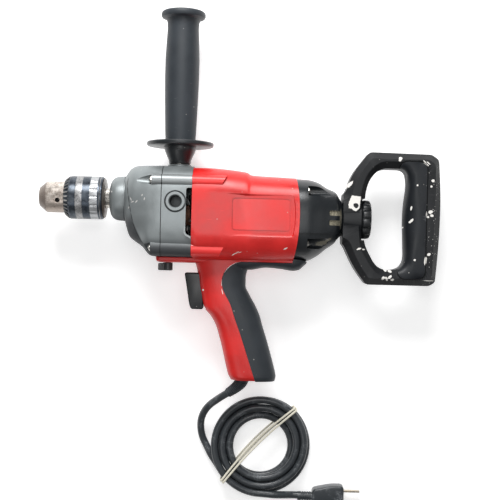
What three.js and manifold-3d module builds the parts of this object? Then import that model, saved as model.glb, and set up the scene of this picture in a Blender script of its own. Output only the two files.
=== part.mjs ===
// Corded spade-handle drill with a keyed chuck, a top side handle and a coiled mains lead.
// Frame: the drill lies on its right side. X runs from the chuck (-X) to the rear handle (+X),
// Y runs up the drawing towards the side handle, Z rises from the table to the left side.
// While it is built, the origin is where the spindle axis meets the joint between the rear
// casting and the motor housing, on the mid-plane. All lengths are in millimetres.
import * as THREE from 'three';
import { mergeVertices } from 'three/addons/utils/BufferGeometryUtils.js';
import Module from 'manifold-3d';

const wasm = await Module();
wasm.setup();

// Driving dimensions
const gap = 0.3;
const overrun = 4;

const motorDrop = 15.5;

const gearCase = { length: 71.2, split: 31, top: 35, depth: 60, half: 42, wall: 3.2 };
const collar = {
  length: 16.5, radius: 23.4, lip: 13, bore: 17.8, frontWall: 7.4, mouth: 10.9,
  lipDepth: 2.2, lipRise: 2.4, shoulder: 7.6, waistStep: 2,
};
const rearWall = {
  front: 11, thickness: 3, web: 1.2, hubWall: 3, hubRim: 1, firstReach: 2.5, secondReach: 8.2, blind: 1.4,
};
const sideBoss = { back: 15.1, drop: 4.5, radius: 9.9, proud: 1, bore: 6, innerRadius: 8.6, depth: 20 };
const topBoss = { back: 15.9, radius: 12.4, rise: 37, bore: 6.2, innerRadius: 9.4, depth: 20 };
const ventWindow = { length: 5.2, top: 8.5, bottom: 35, slant: 5 };
const caseScrew = {
  upper: { rise: 18.4, side: 34.4 }, lower: { rise: -50, side: 29.4 },
  headBack: 41.5, head: 7.6, headLength: 2.6, shank: 4, length: 31,
  ridge: 6, groove: 5.4, grooveTaper: 18, socket: 1.8, socketDepth: 1.4,
};

const barrel = { length: 109.6, top: 33.8, depth: 62.5, half: 43, halfFull: 44.2, wall: 2.6 };
const rearEdge = { sag: 5.6 };
const rearEdgeShares = [-1.3, -1, -0.7, -0.35, 0, 0.35, 0.7, 1, 1.3];
const tongue = { length: 37.5, top: 58, depth: 65.5, half: 16 };
const grip = { length: 186, half: 17.6, depth: 50, front: 37, topFront: 2.3, wall: 4.8 };
const lip = { start: 46, end: 118.5, depth: 70.6, half: 21 };
const cover = { thickness: 2.4, proud: 0.7, lowering: 0.2 };
const triggerSize = {
  top: 75.6, bottom: 113.6, front: 7.7, rear: 13, half: 8, travel: 6.5, lean: 7.6, bevel: 1.2,
  corner: 2.4, hollow: 12, heel: 6,
};
const lever = { back: 25.6, length: 10, bottom: 74, half: 3.6, pin: 3, hub: 5 };
const switchBox = { front: 24, rear: 41, top: 78, bottom: 108, half: 9.8 };

const endCap = {
  length: 50, hubRadius: 17.5, wall: 2.6, rearWall: 8, top: 25.1, depth: 61.8, half: 42, room: 34.5,
  web: 3, armHalf: 7,
};
const capScrew = {
  rise: 27, side: 28, wall: 1.4, x: 118, head: 7, headLength: 2.4, shank: 3.6, recess: 4.4,
  grooveLength: 24, grooveFlare: 1.6, endRoom: 1,
};
const ventSlot = { start: 140.3, end: 152, pitch: 10, height: 5.2 };
const rearBearing = { x: 108.6, width: 7, outer: 11, inner: 4, shaftEnd: 1, hubStart: 2 };
const frontBearing = { width: 7, outer: 11, inner: 4, recess: 1 };

// The motor's radii follow the room in the barrel, as shares of the stator's outer radius.
const statorRoom = 2.9;
const motorRadius = barrel.half - barrel.wall - statorRoom;
const motorShares = {
  air: 0.683, core: 0.6613, winding: 0.5333, commutator: 0.3333, fan: 0.88, fanHub: 0.24, yoke: 0.1333,
  poleHalf: 0.4, coil: 0.16, coilHalf: 0.6,
};
const armature = {
  shaft: 4, coreStart: 26, coreEnd: 70, core: motorRadius * motorShares.core, slots: 6, slotDepth: 3,
  windingLength: 10, winding: motorRadius * motorShares.winding, commutatorStart: 86, commutatorEnd: 102,
  commutator: motorRadius * motorShares.commutator, bars: 16,
  fanStart: -3, fanWidth: 9, fan: motorRadius * motorShares.fan, fanHub: motorRadius * motorShares.fanHub,
  fanDisc: 2, blades: 7, bladeThickness: 1.6, shaftRoom: 1, pinionNeck: 0.4,
  commutatorRim: 1.4, commutatorRimWidth: 1.6,
};
const stator = {
  outer: motorRadius, inner: motorRadius * motorShares.air, start: 28, end: 68,
  yoke: motorRadius * motorShares.yoke, poleHalf: motorRadius * motorShares.poleHalf,
};
const fieldCoil = {
  overhang: 9, thickness: motorRadius * motorShares.coil, half: motorRadius * motorShares.coilHalf,
  airRoom: 1,
};
const brush = {
  start: 90, end: 98, half: 4, inner: armature.commutator + gap, length: 14, boxWall: 1, boxInner: 15,
  boxOuter: motorRadius * motorShares.fan,
};

// The gears' modules as shares of the gear case's half width: 0.9, 1.25 and 1.5 mm in it.
const moduleShares = [0.0214286, 0.0297619, 0.0357143];
const gearModules = moduleShares.map((share) => gearCase.half * share);
const gears = {
  first: {
    pinion: 9, wheel: 36, module: gearModules[0],
    pinionFront: 19, pinionRear: 12, wheelFront: 18.2, wheelRear: 12.6,
  },
  second: {
    pinion: 10, wheel: 28, module: gearModules[1],
    pinionFront: 27.6, pinionRear: 19.2, wheelFront: 27.2, wheelRear: 20.6,
  },
  third: {
    pinion: 11, wheel: 37, module: gearModules[2],
    pinionFront: 44, pinionRear: 32.8, wheelFront: 43, wheelRear: 33.6,
  },
  shaft: 3, bore: 3.3, backlash: 0.24, hub: 6.1, overlap: 0.2, neckWall: 1, bossWall: 2.2, pillarWall: 0.9,
  pillarRoom: 0.9, journalEnd: 6.4, firstFrontReach: 0.4, firstRearReach: 0.7, secondFrontReach: 6,
  secondRearRoom: 1.7, boreRoom: 1,
};
const gearPlate = {
  thickness: 3, inset: 0.3, bossLength: 7, boss: 9, firstBoss: 5, firstBossLength: 1.4, hubRoom: 0.7,
  ridgeRoom: 1,
};
const spindleSize = { body: 8.5, neck: 10.5, tail: 5, neckLength: 4.4, nose: 6, noseLength: 34, step: 1.4 };
const spindleBearing = { outer: 17.5, inner: 8.8, width: 11 };

const chuck = {
  rearLength: 7, sleeveLength: 35.6, ringLength: 4.8, noseLength: 21.4,
  nose: 16.4, tip: 10.4, tipChamfer: 7.4, core: 16.9, rear: 18.6, rearSmall: 10.6, rearChamfer: 3.4,
  sleeve: 22.65, sleeveBore: 19.9, wall: 2.6, ringFront: 18, toothShare: 1.6, ribs: 14, ribDepth: 0.7,
  keyHole: 3.1, keyHoleBack: 6.4, keyHoleDepth: 7, bore: 6.6, jawTurn: 44,
  boreEnd: 1, socketEnd: 1.4, jawRoom: 2.4, ringEdge: 1.6, sleeveEdge: 0.8,
};
const jaw = { angle: 14, radius: 3.4, length: 27, travel: 23, tipReach: 2.1, ridge: 0.75, clearance: 0.3 };
const nut = { inner: 17.6, start: 3, width: 6 };

const dHandle = {
  start: 155.4, hub: 19.2, hubLength: 19.6, bore: 6.4, length: 101.4, top: 53.5, bottom: 83.2, half: 18,
  power: 3, rings: 28, points: 10, spine: 15.6, gripProud: 0.5, gripThickness: 4,
};
const knob = { radius: 20.6, length: 9.6, ribs: 12, ribDepth: 1.1, bore: 5.9, room: 1 };
const rearStud = { radius: 5.5, flange: 11, flangeLength: 3.4, proud: 1 };

const sideHandle = {
  gap: 0.7, neck: 11.2, cone: 16.6, coneLength: 15.8, guard: 35, guardThickness: 4.6, guardRise: 56,
  grip: 17.4, gripLow: 15.8, gripTop: 16.3, flange: 23.2, flangeThickness: 6.6, length: 164, core: 9,
  studRadius: 5.9, studInHandle: 30, studInBoss: 15.6, studRoom: 1, guardEdge: 1.2, guardSlope: 2.4,
  collarRise: 0.6, gripRise: 1.4, lowSwell: 0.9, highSwell: 0.4, neckSwell: 1, flangeEdge: 1,
  flangeStart: 1.6, flangeRound: 2.4, flangeDish: 3,
};

const cord = { radius: 3.9, sides: 8, lift: 2.3 };
const coil = { x: 77.6, y: -260, radius: 52.5, pitch: 8.3, turns: 5.1667, start: 210, steps: 24, sides: 6 };
const relief = { x: 55, large: 7.4, small: 5, inside: 12, straight: 6, length: 20, lean: 55, dip: 25 };
// The tail's run to the plug, the place of its middle point, and how far these lie aside.
const tail = { length: 34, middle: 20, middleAside: 1, aside: 1.5 };
const tie = { radius: 0.9, angle: 46, standoff: 0.5, steps: 6 };
const plug = {
  length: 34, width: 26, thickness: 17, neck: 8, neckWall: 1, neckLength: 14, blade: 6.3,
  bladeThickness: 1.5, bladeLength: 17, bladePitch: 12.7, corner: 4, bevel: 1.4,
};

// Where the lead runs, hand-chosen points of its centre line.
const leadPoints = [
  [27.8, -211.6, -16.6], [20.6, -218, -21.4], [15.2, -225.8, -26.2], [12.2, -234.8, -30.4],
  [11.9, -244.4, -33.6], [13.9, -254, -35.8], [18, -262.9, -36.7],
];

// Materials
const finish = (color, roughness, metalness) =>
  new THREE.MeshStandardMaterial({ color, roughness, metalness });

const materials = {
  redShell: finish(0xc8211f, 0.42, 0),
  rubber: finish(0x1c1f21, 0.72, 0),
  blackPlastic: finish(0x1a1c1f, 0.5, 0),
  castGrey: finish(0x55575a, 0.5, 0.55),
  steel: finish(0xb8b4aa, 0.3, 1),
  darkSteel: finish(0x33312f, 0.42, 0.9),
  screw: finish(0xa9a79f, 0.35, 1),
  copper: finish(0x9c5a2b, 0.4, 0.8),
  lamination: finish(0x6b6660, 0.5, 0.8),
  carbon: finish(0x2b2b2b, 0.8, 0.1),
  brass: finish(0xb99b4e, 0.35, 1),
  cordBlack: finish(0x17181a, 0.6, 0),
  string: finish(0xcfc3a2, 0.85, 0),
};

// Shape helpers

// A closed body from rings of equally many points. A ring of one point is a tip; the ends
// are capped with a fan, or joined to each other where the body is a loop.
function ringsBody(rings, loop = false) {
  const positions = [];
  const starts = [];
  for (const ring of rings) {
    starts.push(positions.length / 3);
    for (const point of ring) positions.push(point.x, point.y, point.z);
  }
  const triangles = [];
  const count = Math.max(...rings.map((ring) => ring.length));
  const last = loop ? rings.length : rings.length - 1;
  for (let k = 0; k < last; k += 1) {
    const next = (k + 1) % rings.length;
    const at = (ring, i) => starts[ring] + (rings[ring].length === 1 ? 0 : i % count);
    for (let i = 0; i < count; i += 1) {
      if (rings[k].length > 1) triangles.push(at(k, i), at(k, i + 1), at(next, i));
      if (rings[next].length > 1) triangles.push(at(k, i + 1), at(next, i + 1), at(next, i));
    }
  }
  if (!loop) {
    for (const [index, flip] of [[0, true], [rings.length - 1, false]]) {
      if (rings[index].length === 1) continue;
      const middle = rings[index].reduce((sum, point) => sum.add(point), new THREE.Vector3());
      middle.divideScalar(count);
      const centre = positions.length / 3;
      positions.push(middle.x, middle.y, middle.z);
      for (let i = 0; i < count; i += 1) {
        const a = starts[index] + i;
        const b = starts[index] + ((i + 1) % count);
        triangles.push(...(flip ? [centre, b, a] : [centre, a, b]));
      }
    }
  }
  const geometry = new THREE.BufferGeometry();
  geometry.setAttribute('position', new THREE.Float32BufferAttribute(positions, 3));
  geometry.setIndex(triangles);
  if (signedVolume(geometry) < 0) {
    geometry.setIndex(triangles.map((_, i) => triangles[i - (i % 3) + (2 - (i % 3))]));
  }
  return geometry;
}

function signedVolume(geometry) {
  const position = geometry.getAttribute('position');
  const index = geometry.getIndex().array;
  const [a, b, c] = [new THREE.Vector3(), new THREE.Vector3(), new THREE.Vector3()];
  let sum = 0;
  for (let i = 0; i < index.length; i += 3) {
    a.fromBufferAttribute(position, index[i]);
    b.fromBufferAttribute(position, index[i + 1]);
    c.fromBufferAttribute(position, index[i + 2]);
    sum += a.dot(b.cross(c)) / 6;
  }
  return sum;
}

// A three.js geometry as a solid that can be joined and cut, and the way back.
function solid(geometry) {
  const bare = geometry.clone();
  bare.deleteAttribute('normal');
  bare.deleteAttribute('uv');
  const merged = mergeVertices(bare, 1e-4);
  return new wasm.Manifold(new wasm.Mesh({
    numProp: 3,
    vertProperties: new Float32Array(merged.getAttribute('position').array),
    triVerts: new Uint32Array(merged.getIndex().array),
  }));
}

function geometryOf(body) {
  const mesh = body.getMesh();
  const positions = [];
  for (let i = 0; i < mesh.vertProperties.length; i += mesh.numProp) {
    positions.push(...mesh.vertProperties.subarray(i, i + 3));
  }
  const geometry = new THREE.BufferGeometry();
  geometry.setAttribute('position', new THREE.Float32BufferAttribute(positions, 3));
  geometry.setIndex([...mesh.triVerts]);
  return geometry;
}

const join = (...bodies) => bodies.reduce((sum, body) => sum.add(body));
const cut = (body, ...tools) => tools.reduce((rest, tool) => rest.subtract(tool), body);
const common = (...bodies) => bodies.reduce((rest, body) => rest.intersect(body));

// A box from its limits on the three axes.
function slab([x0, x1], [y0, y1], [z0, z1]) {
  const box = new THREE.BoxGeometry(x1 - x0, y1 - y0, z1 - z0);
  return solid(box.translate((x0 + x1) / 2, (y0 + y1) / 2, (z0 + z1) / 2));
}

// An outline with rounded corners: each point is [x, y, corner radius].
function roundedOutline(points, curve) {
  const count = points.length;
  const place = (i) => new THREE.Vector2(points[i % count][0], points[i % count][1]);
  for (let i = 0; i < count; i += 1) {
    const before = place(i + count - 1);
    const corner = place(i);
    const after = place(i + 1);
    const room = Math.min(corner.distanceTo(before), corner.distanceTo(after)) * 0.49;
    const reach = Math.min(points[i][2] ?? 0, room);
    const enter = corner.clone().add(before.sub(corner).setLength(reach));
    const leave = corner.clone().add(after.sub(corner).setLength(reach));
    if (i === 0) curve.moveTo(enter.x, enter.y);
    else curve.lineTo(enter.x, enter.y);
    if (reach > 0) curve.quadraticCurveTo(corner.x, corner.y, leave.x, leave.y);
  }
  curve.closePath();
  return curve;
}

// A plate whose outline is drawn in X and Y, between two heights.
function plate(shape, [low, high], { bevel = 0, curveSegments = 3, bevelSegments = 1 } = {}) {
  const extruded = new THREE.ExtrudeGeometry(shape, {
    depth: high - low - 2 * bevel, curveSegments, bevelEnabled: bevel > 0, bevelSize: bevel,
    bevelThickness: bevel, bevelOffset: -bevel, bevelSegments,
  });
  return solid(extruded.translate(0, 0, low + bevel));
}

const polygonPlate = (points, limits, options) =>
  plate(roundedOutline(points, new THREE.Shape()), limits, options);

// A turned body about the X axis through (y, z). Each profile point is [x, radius, wave];
// the wave, a radius added on the raised steps, makes ribs and teeth.
function turned(profile, steps, { y = 0, z = 0, pattern = [0], phase = 0 } = {}) {
  const loop = profile[0][1] > 0 && profile[profile.length - 1][1] > 0;
  const rings = profile.map(([x, radius, wave = 0]) => {
    if (radius === 0) return [new THREE.Vector3(x, y, z)];
    return Array.from({ length: steps }, (_, i) => {
      const turn = (2 * Math.PI * (i + phase)) / steps;
      const reach = radius + wave * pattern[i % pattern.length];
      return new THREE.Vector3(x, y + reach * Math.cos(turn), z + reach * Math.sin(turn));
    });
  });
  return ringsBody(rings, loop);
}

// A plain round bar along X, and the same bar stood along Y or Z.
function bar([x0, x1], radius, steps, place) {
  return solid(turned([[x0, 0], [x0, radius], [x1, radius], [x1, 0]], steps, place));
}

function barAlong(axis, [low, high], radius, steps, [x, y, z]) {
  const profile = [[low, 0], [low, radius], [high, radius], [high, 0]];
  const geometry = turned(profile, steps);
  if (axis === 'y') geometry.rotateZ(Math.PI / 2);
  if (axis === 'z') geometry.rotateY(-Math.PI / 2);
  return solid(geometry.translate(x, y, z));
}

// One ring of a lofted body: a rounded section between two heights and two depths.
function section(along, [low, high], half, power, count, upright = false) {
  const middle = (low + high) / 2;
  const reach = (high - low) / 2;
  const bend = 2 / power;
  return Array.from({ length: count }, (_, i) => {
    const turn = (2 * Math.PI * i) / count;
    const [c, s] = [Math.cos(turn), Math.sin(turn)];
    const across = middle + reach * Math.sign(s) * Math.abs(s) ** bend;
    const z = half * Math.sign(c) * Math.abs(c) ** bend;
    return upright ? new THREE.Vector3(across, along, z) : new THREE.Vector3(along, across, z);
  });
}

// A tube or taper along a curve, with round ends square to the curve.
function sweep(curve, radiusAt, steps, sides) {
  const frames = curve.computeFrenetFrames(steps, false);
  const rings = Array.from({ length: steps + 1 }, (_, k) => {
    const centre = curve.getPointAt(k / steps);
    const radius = radiusAt(k / steps);
    return Array.from({ length: sides }, (_, i) => {
      const turn = (2 * Math.PI * i) / sides;
      return centre.clone()
        .addScaledVector(frames.normals[k], radius * Math.cos(turn))
        .addScaledVector(frames.binormals[k], radius * Math.sin(turn));
    });
  });
  return ringsBody(rings);
}

// The assembly: one group, one named mesh for each piece
const group = new THREE.Group();
const cordPieces = new Set();

function add(name, shape, material) {
  const geometry = shape.isBufferGeometry ? shape : geometryOf(shape);
  geometry.computeVertexNormals();
  const mesh = new THREE.Mesh(geometry, material);
  mesh.name = name;
  group.add(mesh);
  return mesh;
}

// Lofted main forms: each takes how far its skin is grown, negative for the inside
const beyond = 400;

// Points round a lofted section: fewer for the inside of a shell, which shows little.
const skinPoints = 16;
const corePoints = 8;
const pointsFor = (grow) => (grow < 0 ? corePoints : skinPoints);

// Shares of the case's length, top, depth and half width, and the roundness of the section.
const caseShares = [
  [1, 0.668, 0.39, 0.557, 2], [0.965, 0.79, 0.54, 0.67, 2.1], [0.92, 0.9, 0.67, 0.76, 2.3],
  [0.84, 0.975, 0.745, 0.855, 2.6], [0.73, 1, 0.835, 0.92, 2.8], [0.6, 1, 0.985, 0.98, 3.1],
  [0.435, 1, 1, 1, 3.3], [0, 1, 1, 1, 3.4],
];

function caseLoft(grow) {
  return solid(ringsBody(caseShares.map(([along, top, depth, half, power]) => section(
    -gearCase.length * along, [-gearCase.depth * depth - grow, gearCase.top * top + grow],
    gearCase.half * half + grow, power, pointsFor(grow)))));
}

// Shares of the barrel's length, top, depth and full half width.
const barrelShares = [
  [0, 1, 0.96, 0.985], [0.06, 1, 1, 1], [0.2, 0.992, 1, 1], [0.505, 0.885, 1, 1], [0.545, 0.811, 1, 1],
  [1, 0.742, 0.985, 0.985],
];
const barrelPower = 3.2;

function barrelLoft(grow) {
  const loft = solid(ringsBody(barrelShares.map(([along, top, depth, half]) => section(
    barrel.length * along, [-barrel.depth * depth - grow, barrel.top * top + grow],
    barrel.halfFull * half + grow, barrelPower, pointsFor(grow)))));
  const flat = barrel.half + grow;
  return common(loft, slab([-overrun, beyond], [-beyond, beyond], [-flat, flat]));
}

// Shares of the grip's length down from the spindle axis, and its front and rear edges as
// shares of its full depth.
const gripShares = [
  [0.271, -0.04, 1.3], [0.337, 0.0, 1.24], [0.379, 0.05, 1.11], [0.43, 0.09, 1.07], [0.473, 0.11, 1.072],
  [0.524, 0.146, 1.16], [0.591, 0.2, 1.3], [0.645, 0.365, 1.39], [0.692, 0.47, 1.44], [0.786, 0.585, 1.555],
  [0.975, 0.765, 1.75], [1, 0.82, 1.73],
];
const gripPower = 2.6;
const gripEndShares = [0.985, 0.9];

function gripLoft(grow) {
  const ends = gripShares.length - 1;
  return solid(ringsBody(gripShares.map(([along, front, rear], i) => section(
    -grip.length * along - (i === ends ? grow : 0),
    [grip.topFront + grip.depth * front - grow, grip.topFront + grip.depth * rear + grow],
    grip.half * (i === ends ? gripEndShares[1] : 1) + grow, gripPower, pointsFor(grow), true))));
}

// The tongue under the gear case, a rounded bar that runs into the grip.
const tongueShares = [[1, 0.955, 0.8], [0.96, 0.99, 0.95], [0.85, 1, 1], [0, 1, 1], [-0.4, 1, 1]];

function tongueLoft(grow) {
  return solid(ringsBody(tongueShares.map(([along, depth, half], i) => section(
    -tongue.length * along - (i === 0 ? grow : 0), [-tongue.depth * depth - grow, -tongue.top + grow],
    tongue.half * half + grow, 4, corePoints))));
}

// The overmoulded lip behind the grip, under the barrel: shares along it, its depth and half.
const lipShares = [
  [0, 0.985, 0.9], [0.2, 1, 1], [0.43, 0.962, 1], [0.63, 0.975, 1], [0.81, 1, 1], [0.9, 0.985, 0.95],
  [0.96, 0.935, 0.85], [1, 0.89, 0.7],
];

function lipLoft(grow) {
  return solid(ringsBody(lipShares.map(([along, depth, half], i) => section(
    lip.start + (lip.end - lip.start) * along + (i === lipShares.length - 1 ? grow : 0),
    [-lip.depth * depth - grow, -barrel.depth * 0.8], lip.half * half + grow, 3, corePoints))));
}

const shellBody = (grow) => join(barrelLoft(grow), gripLoft(grow), tongueLoft(grow), lipLoft(grow));

// The end cap: shares of its length behind the joint, top, depth and half width.
const capShares = [
  [-0.14, 1, 1, 1], [0.24, 0.976, 1, 0.985], [0.46, 0.88, 0.93, 0.915], [0.67, 0.641, 0.795, 0.775],
  [0.86, 0.47, 0.68, 0.65], [0.935, 0.247, 0.58, 0.51], [1, 0.06, 0.53, 0.4],
];

function capLoft(grow) {
  return solid(ringsBody(capShares.map(([along, top, depth, half], i) => section(
    dHandle.start - gap - endCap.length * (1 - along) + (i === capShares.length - 1 ? Math.min(grow, 0) : 0),
    [-endCap.depth * depth - grow, endCap.top * top + grow], endCap.half * half + grow,
    i > capShares.length - 3 ? 2 : 2.6, pointsFor(grow)))));
}

// Places shared by several pieces
const collarFrontX = -gearCase.length - collar.length;
const chuckRearX = collarFrontX - spindleSize.neckLength;
const sleeveRearX = chuckRearX - chuck.rearLength;
const ringRearX = sleeveRearX - chuck.sleeveLength;
const ringFrontX = ringRearX - chuck.ringLength;
const noseTipX = ringFrontX - chuck.noseLength;
const motor = { y: -motorDrop, z: 0 };
const wallFrontX = -rearWall.front;
const wallRearX = wallFrontX + rearWall.thickness;
const capRearX = dHandle.start - gap;
const capInnerRearX = capRearX - endCap.rearWall;

// The three reduction pairs: the second and first shafts are found from the pitch distances.
const pitchDistance = (pair) => (pair.module * (pair.pinion + pair.wheel)) / 2;
const secondShaftTurn = 166;
const secondShaftAngle = THREE.MathUtils.degToRad(secondShaftTurn);
const secondShaft = {
  y: pitchDistance(gears.third) * Math.cos(secondShaftAngle),
  z: pitchDistance(gears.third) * Math.sin(secondShaftAngle),
};
const firstShaft = thirdCorner(motor, pitchDistance(gears.first), secondShaft, pitchDistance(gears.second));

// The point at two given distances from two others, on the side away from the spindle.
function thirdCorner(from, fromReach, to, toReach) {
  const [dy, dz] = [to.y - from.y, to.z - from.z];
  const span = Math.hypot(dy, dz);
  const along = (fromReach ** 2 - toReach ** 2 + span ** 2) / (2 * span);
  const aside = Math.sqrt(fromReach ** 2 - along ** 2);
  return {
    y: from.y + (along * dy) / span - (aside * dz) / span,
    z: from.z + (along * dz) / span + (aside * dy) / span,
  };
}

// A spur gear's outline with straight flanks, three points to a tooth.
const pressure = Math.tan(THREE.MathUtils.degToRad(25));
const addendumShare = 0.8;
const dedendumShare = 1.5;
const turnOf = (place, other) => Math.atan2(other.z - place.z, other.y - place.y);

const toothHalfTurn = (teeth) => Math.PI / teeth;

function gearOutline(teeth, module, phase) {
  const pitch = (module * teeth) / 2;
  const thin = Math.PI / (2 * teeth) - gears.backlash / (2 * pitch);
  const root = pitch - dedendumShare * module;
  const points = [];
  for (let tooth = 0; tooth < teeth; tooth += 1) {
    const middle = phase + (2 * Math.PI * tooth) / teeth;
    const tip = pitch + addendumShare * module;
    const half = thin - (addendumShare * module * pressure) / pitch;
    points.push(...[[root, -toothHalfTurn(teeth)], [tip, -half], [tip, half]].map(([radius, side]) =>
      [radius * Math.cos(middle + side), radius * Math.sin(middle + side)]));
  }
  return points;
}

// The outline drawn in Y and Z about a place and carried from one X to another.
function gearBlank(teeth, module, [x0, x1], place, phase) {
  const outline = gearOutline(teeth, module, phase);
  const rings = [x0, x1].map((x) => outline.map(([y, z]) =>
    new THREE.Vector3(x, place.y + y, place.z + z)));
  return solid(ringsBody(rings));
}

const armatureToFirst = turnOf(motor, firstShaft);
const firstToSecond = turnOf(firstShaft, secondShaft);
const secondToSpindle = turnOf(secondShaft, { y: 0, z: 0 });

// Gear case, its rear casting and the plate between them
const caseScrewPlaces = [caseScrew.upper, caseScrew.lower].flatMap(({ rise, side }) =>
  [side, -side].map((z) => ({ y: rise, z })));
const boreSteps = 24;

function gearCasePiece() {
  const front = slab([-beyond, -gearCase.split - gap / 2], [-beyond, beyond], [-beyond, beyond]);
  const inside = common(caseLoft(-gearCase.wall),
    slab([-gearCase.length + gearCase.wall, beyond], [-beyond, beyond], [-beyond, beyond]));
  const nose = solid(turned([
    [collarFrontX, 0], [collarFrontX, collar.lip],
    [collarFrontX + collar.lipDepth, collar.lip + collar.lipRise],
    [collarFrontX + collar.shoulder, collar.radius - gap], [collarFrontX + collar.length, collar.radius],
    [-gearCase.length + collar.lip, collar.radius], [-gearCase.length + collar.lip, 0]], 16));
  const bearingFrontX = collarFrontX + collar.frontWall;
  const seat = bar([bearingFrontX, -gearCase.length + overrun], collar.bore, 16);
  const mouth = bar([collarFrontX - overrun, bearingFrontX + overrun], collar.mouth, 16);
  const waist = bar([bearingFrontX, 0], collar.bore - collar.waistStep, 16);
  let body = join(common(caseLoft(0), front), nose);
  body = cut(body, common(inside, front), seat, mouth, waist);
  const pinionFrontX = -gears.third.pinionFront;
  const journal = [pinionFrontX - gears.journalEnd, pinionFrontX - gears.pillarRoom];
  const pillar = bar([-gearCase.length, journal[1]], gears.hub + gears.pillarWall, 8, secondShaft);
  const socket = bar([journal[0], journal[1] + overrun], gears.bore, 8, secondShaft);
  body = join(body, common(pillar, caseLoft(-gearCase.wall / 2)));
  body = cut(body, socket);
  for (const place of caseScrewPlaces) {
    const ridge = bar([-caseScrew.headBack + gap, -gearCase.split - gap / 2], caseScrew.ridge, 6, place);
    body = join(body, ridge);
    const groove = solid(turned([
      [-caseScrew.headBack - caseScrew.grooveTaper, 0],
      [-caseScrew.headBack - caseScrew.grooveTaper, caseScrew.groove * 0.6],
      [-caseScrew.headBack, caseScrew.groove], [-caseScrew.headBack, 0]], 8, place));
    const hole = bar([-beyond, 0], caseScrew.shank / 2 + 2 * gap, 6, place);
    body = cut(body, groove, common(hole, slab([-caseScrew.headBack - overrun, 0],
      [-beyond, beyond], [-beyond, beyond])));
  }
  add('gear_case', body, materials.castGrey);
}

function gearHousingPiece() {
  const rear = slab([-gearCase.split + gap / 2, -gap / 2], [-beyond, beyond], [-beyond, beyond]);
  let body = cut(common(caseLoft(0), rear), caseLoft(-gearCase.wall));
  const wall = common(caseLoft(-gearCase.wall / 2),
    slab([wallFrontX, wallRearX], [-beyond, beyond], [-beyond, beyond]));
  const hub = bar([wallFrontX, wallFrontX + frontBearing.width + rearWall.hubRim],
    frontBearing.outer + rearWall.hubWall, 12, motor);
  const firstBoss = bar([wallFrontX, wallRearX + rearWall.firstReach], gears.bore + gears.bossWall, 8,
    firstShaft);
  const secondBoss = bar([wallFrontX - rearWall.secondReach, wallRearX], gears.hub, 8, secondShaft);
  body = join(body, wall, hub, firstBoss, secondBoss);
  const sides = [1, -1];
  for (const side of sides) {
    const place = [-sideBoss.back, -sideBoss.drop, 0];
    const limits = (low, high) => (side > 0 ? [low, high] : [-high, -low]);
    const face = gearCase.half + sideBoss.proud;
    body = join(body,
      barAlong('z', limits(face - sideBoss.depth, face), sideBoss.innerRadius, 8, place),
      barAlong('z', limits(gearCase.half - gearCase.wall, face), sideBoss.radius, 12, place));
    body = cut(body, barAlong('z', limits(face - sideBoss.depth + gearCase.wall, face + overrun),
      sideBoss.bore, 8, place));
  }
  const topPlace = [-topBoss.back, 0, 0];
  body = join(body,
    barAlong('y', [topBoss.rise - topBoss.depth, topBoss.rise], topBoss.innerRadius, 8, topPlace),
    barAlong('y', [gearCase.top - gearCase.wall, topBoss.rise], topBoss.radius, 12, topPlace));
  for (const place of caseScrewPlaces) {
    const ridge = bar([-gearCase.split + gap / 2, -gap / 2], caseScrew.ridge, 6, place);
    body = join(body, ridge);
  }
  body = cut(body,
    barAlong('y', [topBoss.rise - topBoss.depth + gearCase.wall, topBoss.rise + overrun], topBoss.bore, 10,
      topPlace),
    bar([wallFrontX + rearWall.web, wallRearX + beyond], frontBearing.outer + gap, 12, motor),
    bar([wallFrontX - overrun, wallRearX], armature.shaft + armature.shaftRoom, 8, motor),
    bar([wallFrontX - overrun, wallRearX + gears.boreRoom], gears.bore, 8, firstShaft),
    bar([-beyond, wallRearX - rearWall.blind], gears.bore, 8, secondShaft),
    ...caseScrewPlaces.map((place) => bar([-beyond, -caseScrew.headBack + caseScrew.length + overrun],
      caseScrew.shank / 2 + 2 * gap, 6, place)));
  const opening = polygonPlate([
    [-ventWindow.length, ventWindow.top], [overrun, ventWindow.top],
    [overrun, -ventWindow.bottom - ventWindow.slant], [-ventWindow.length, -ventWindow.bottom]],
  [-beyond, beyond]);
  const core = slab([-beyond, beyond], [-beyond, beyond], [-frontBearing.outer, frontBearing.outer]);
  body = cut(body, common(cut(opening, core), slab([-ventWindow.length, beyond], [-beyond, beyond],
    [-beyond, beyond])));
  add('gear_housing', body, materials.castGrey);
}

function gearPlatePiece() {
  const frontX = -gearCase.split + gap;
  const disc = common(caseLoft(-gearCase.wall - gearPlate.inset),
    slab([frontX, frontX + gearPlate.thickness], [-beyond, beyond], [-beyond, beyond]));
  const tailBoss = bar([frontX, frontX + gearPlate.bossLength], gearPlate.boss, 12);
  const shaftBoss = bar([frontX - gearPlate.firstBossLength, frontX], gearPlate.firstBoss, 8, firstShaft);
  let body = join(disc, tailBoss, shaftBoss);
  const through = [-beyond, beyond];
  body = cut(body, bar(through, spindleSize.tail + gap, 12), bar(through, gears.bore, 8, firstShaft),
    bar(through, gears.hub + gearPlate.hubRoom, 8, secondShaft),
    ...caseScrewPlaces.map((place) => bar(through, caseScrew.ridge + gearPlate.ridgeRoom, 8, place)));
  add('gear_plate', body, materials.steel);
}

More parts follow.
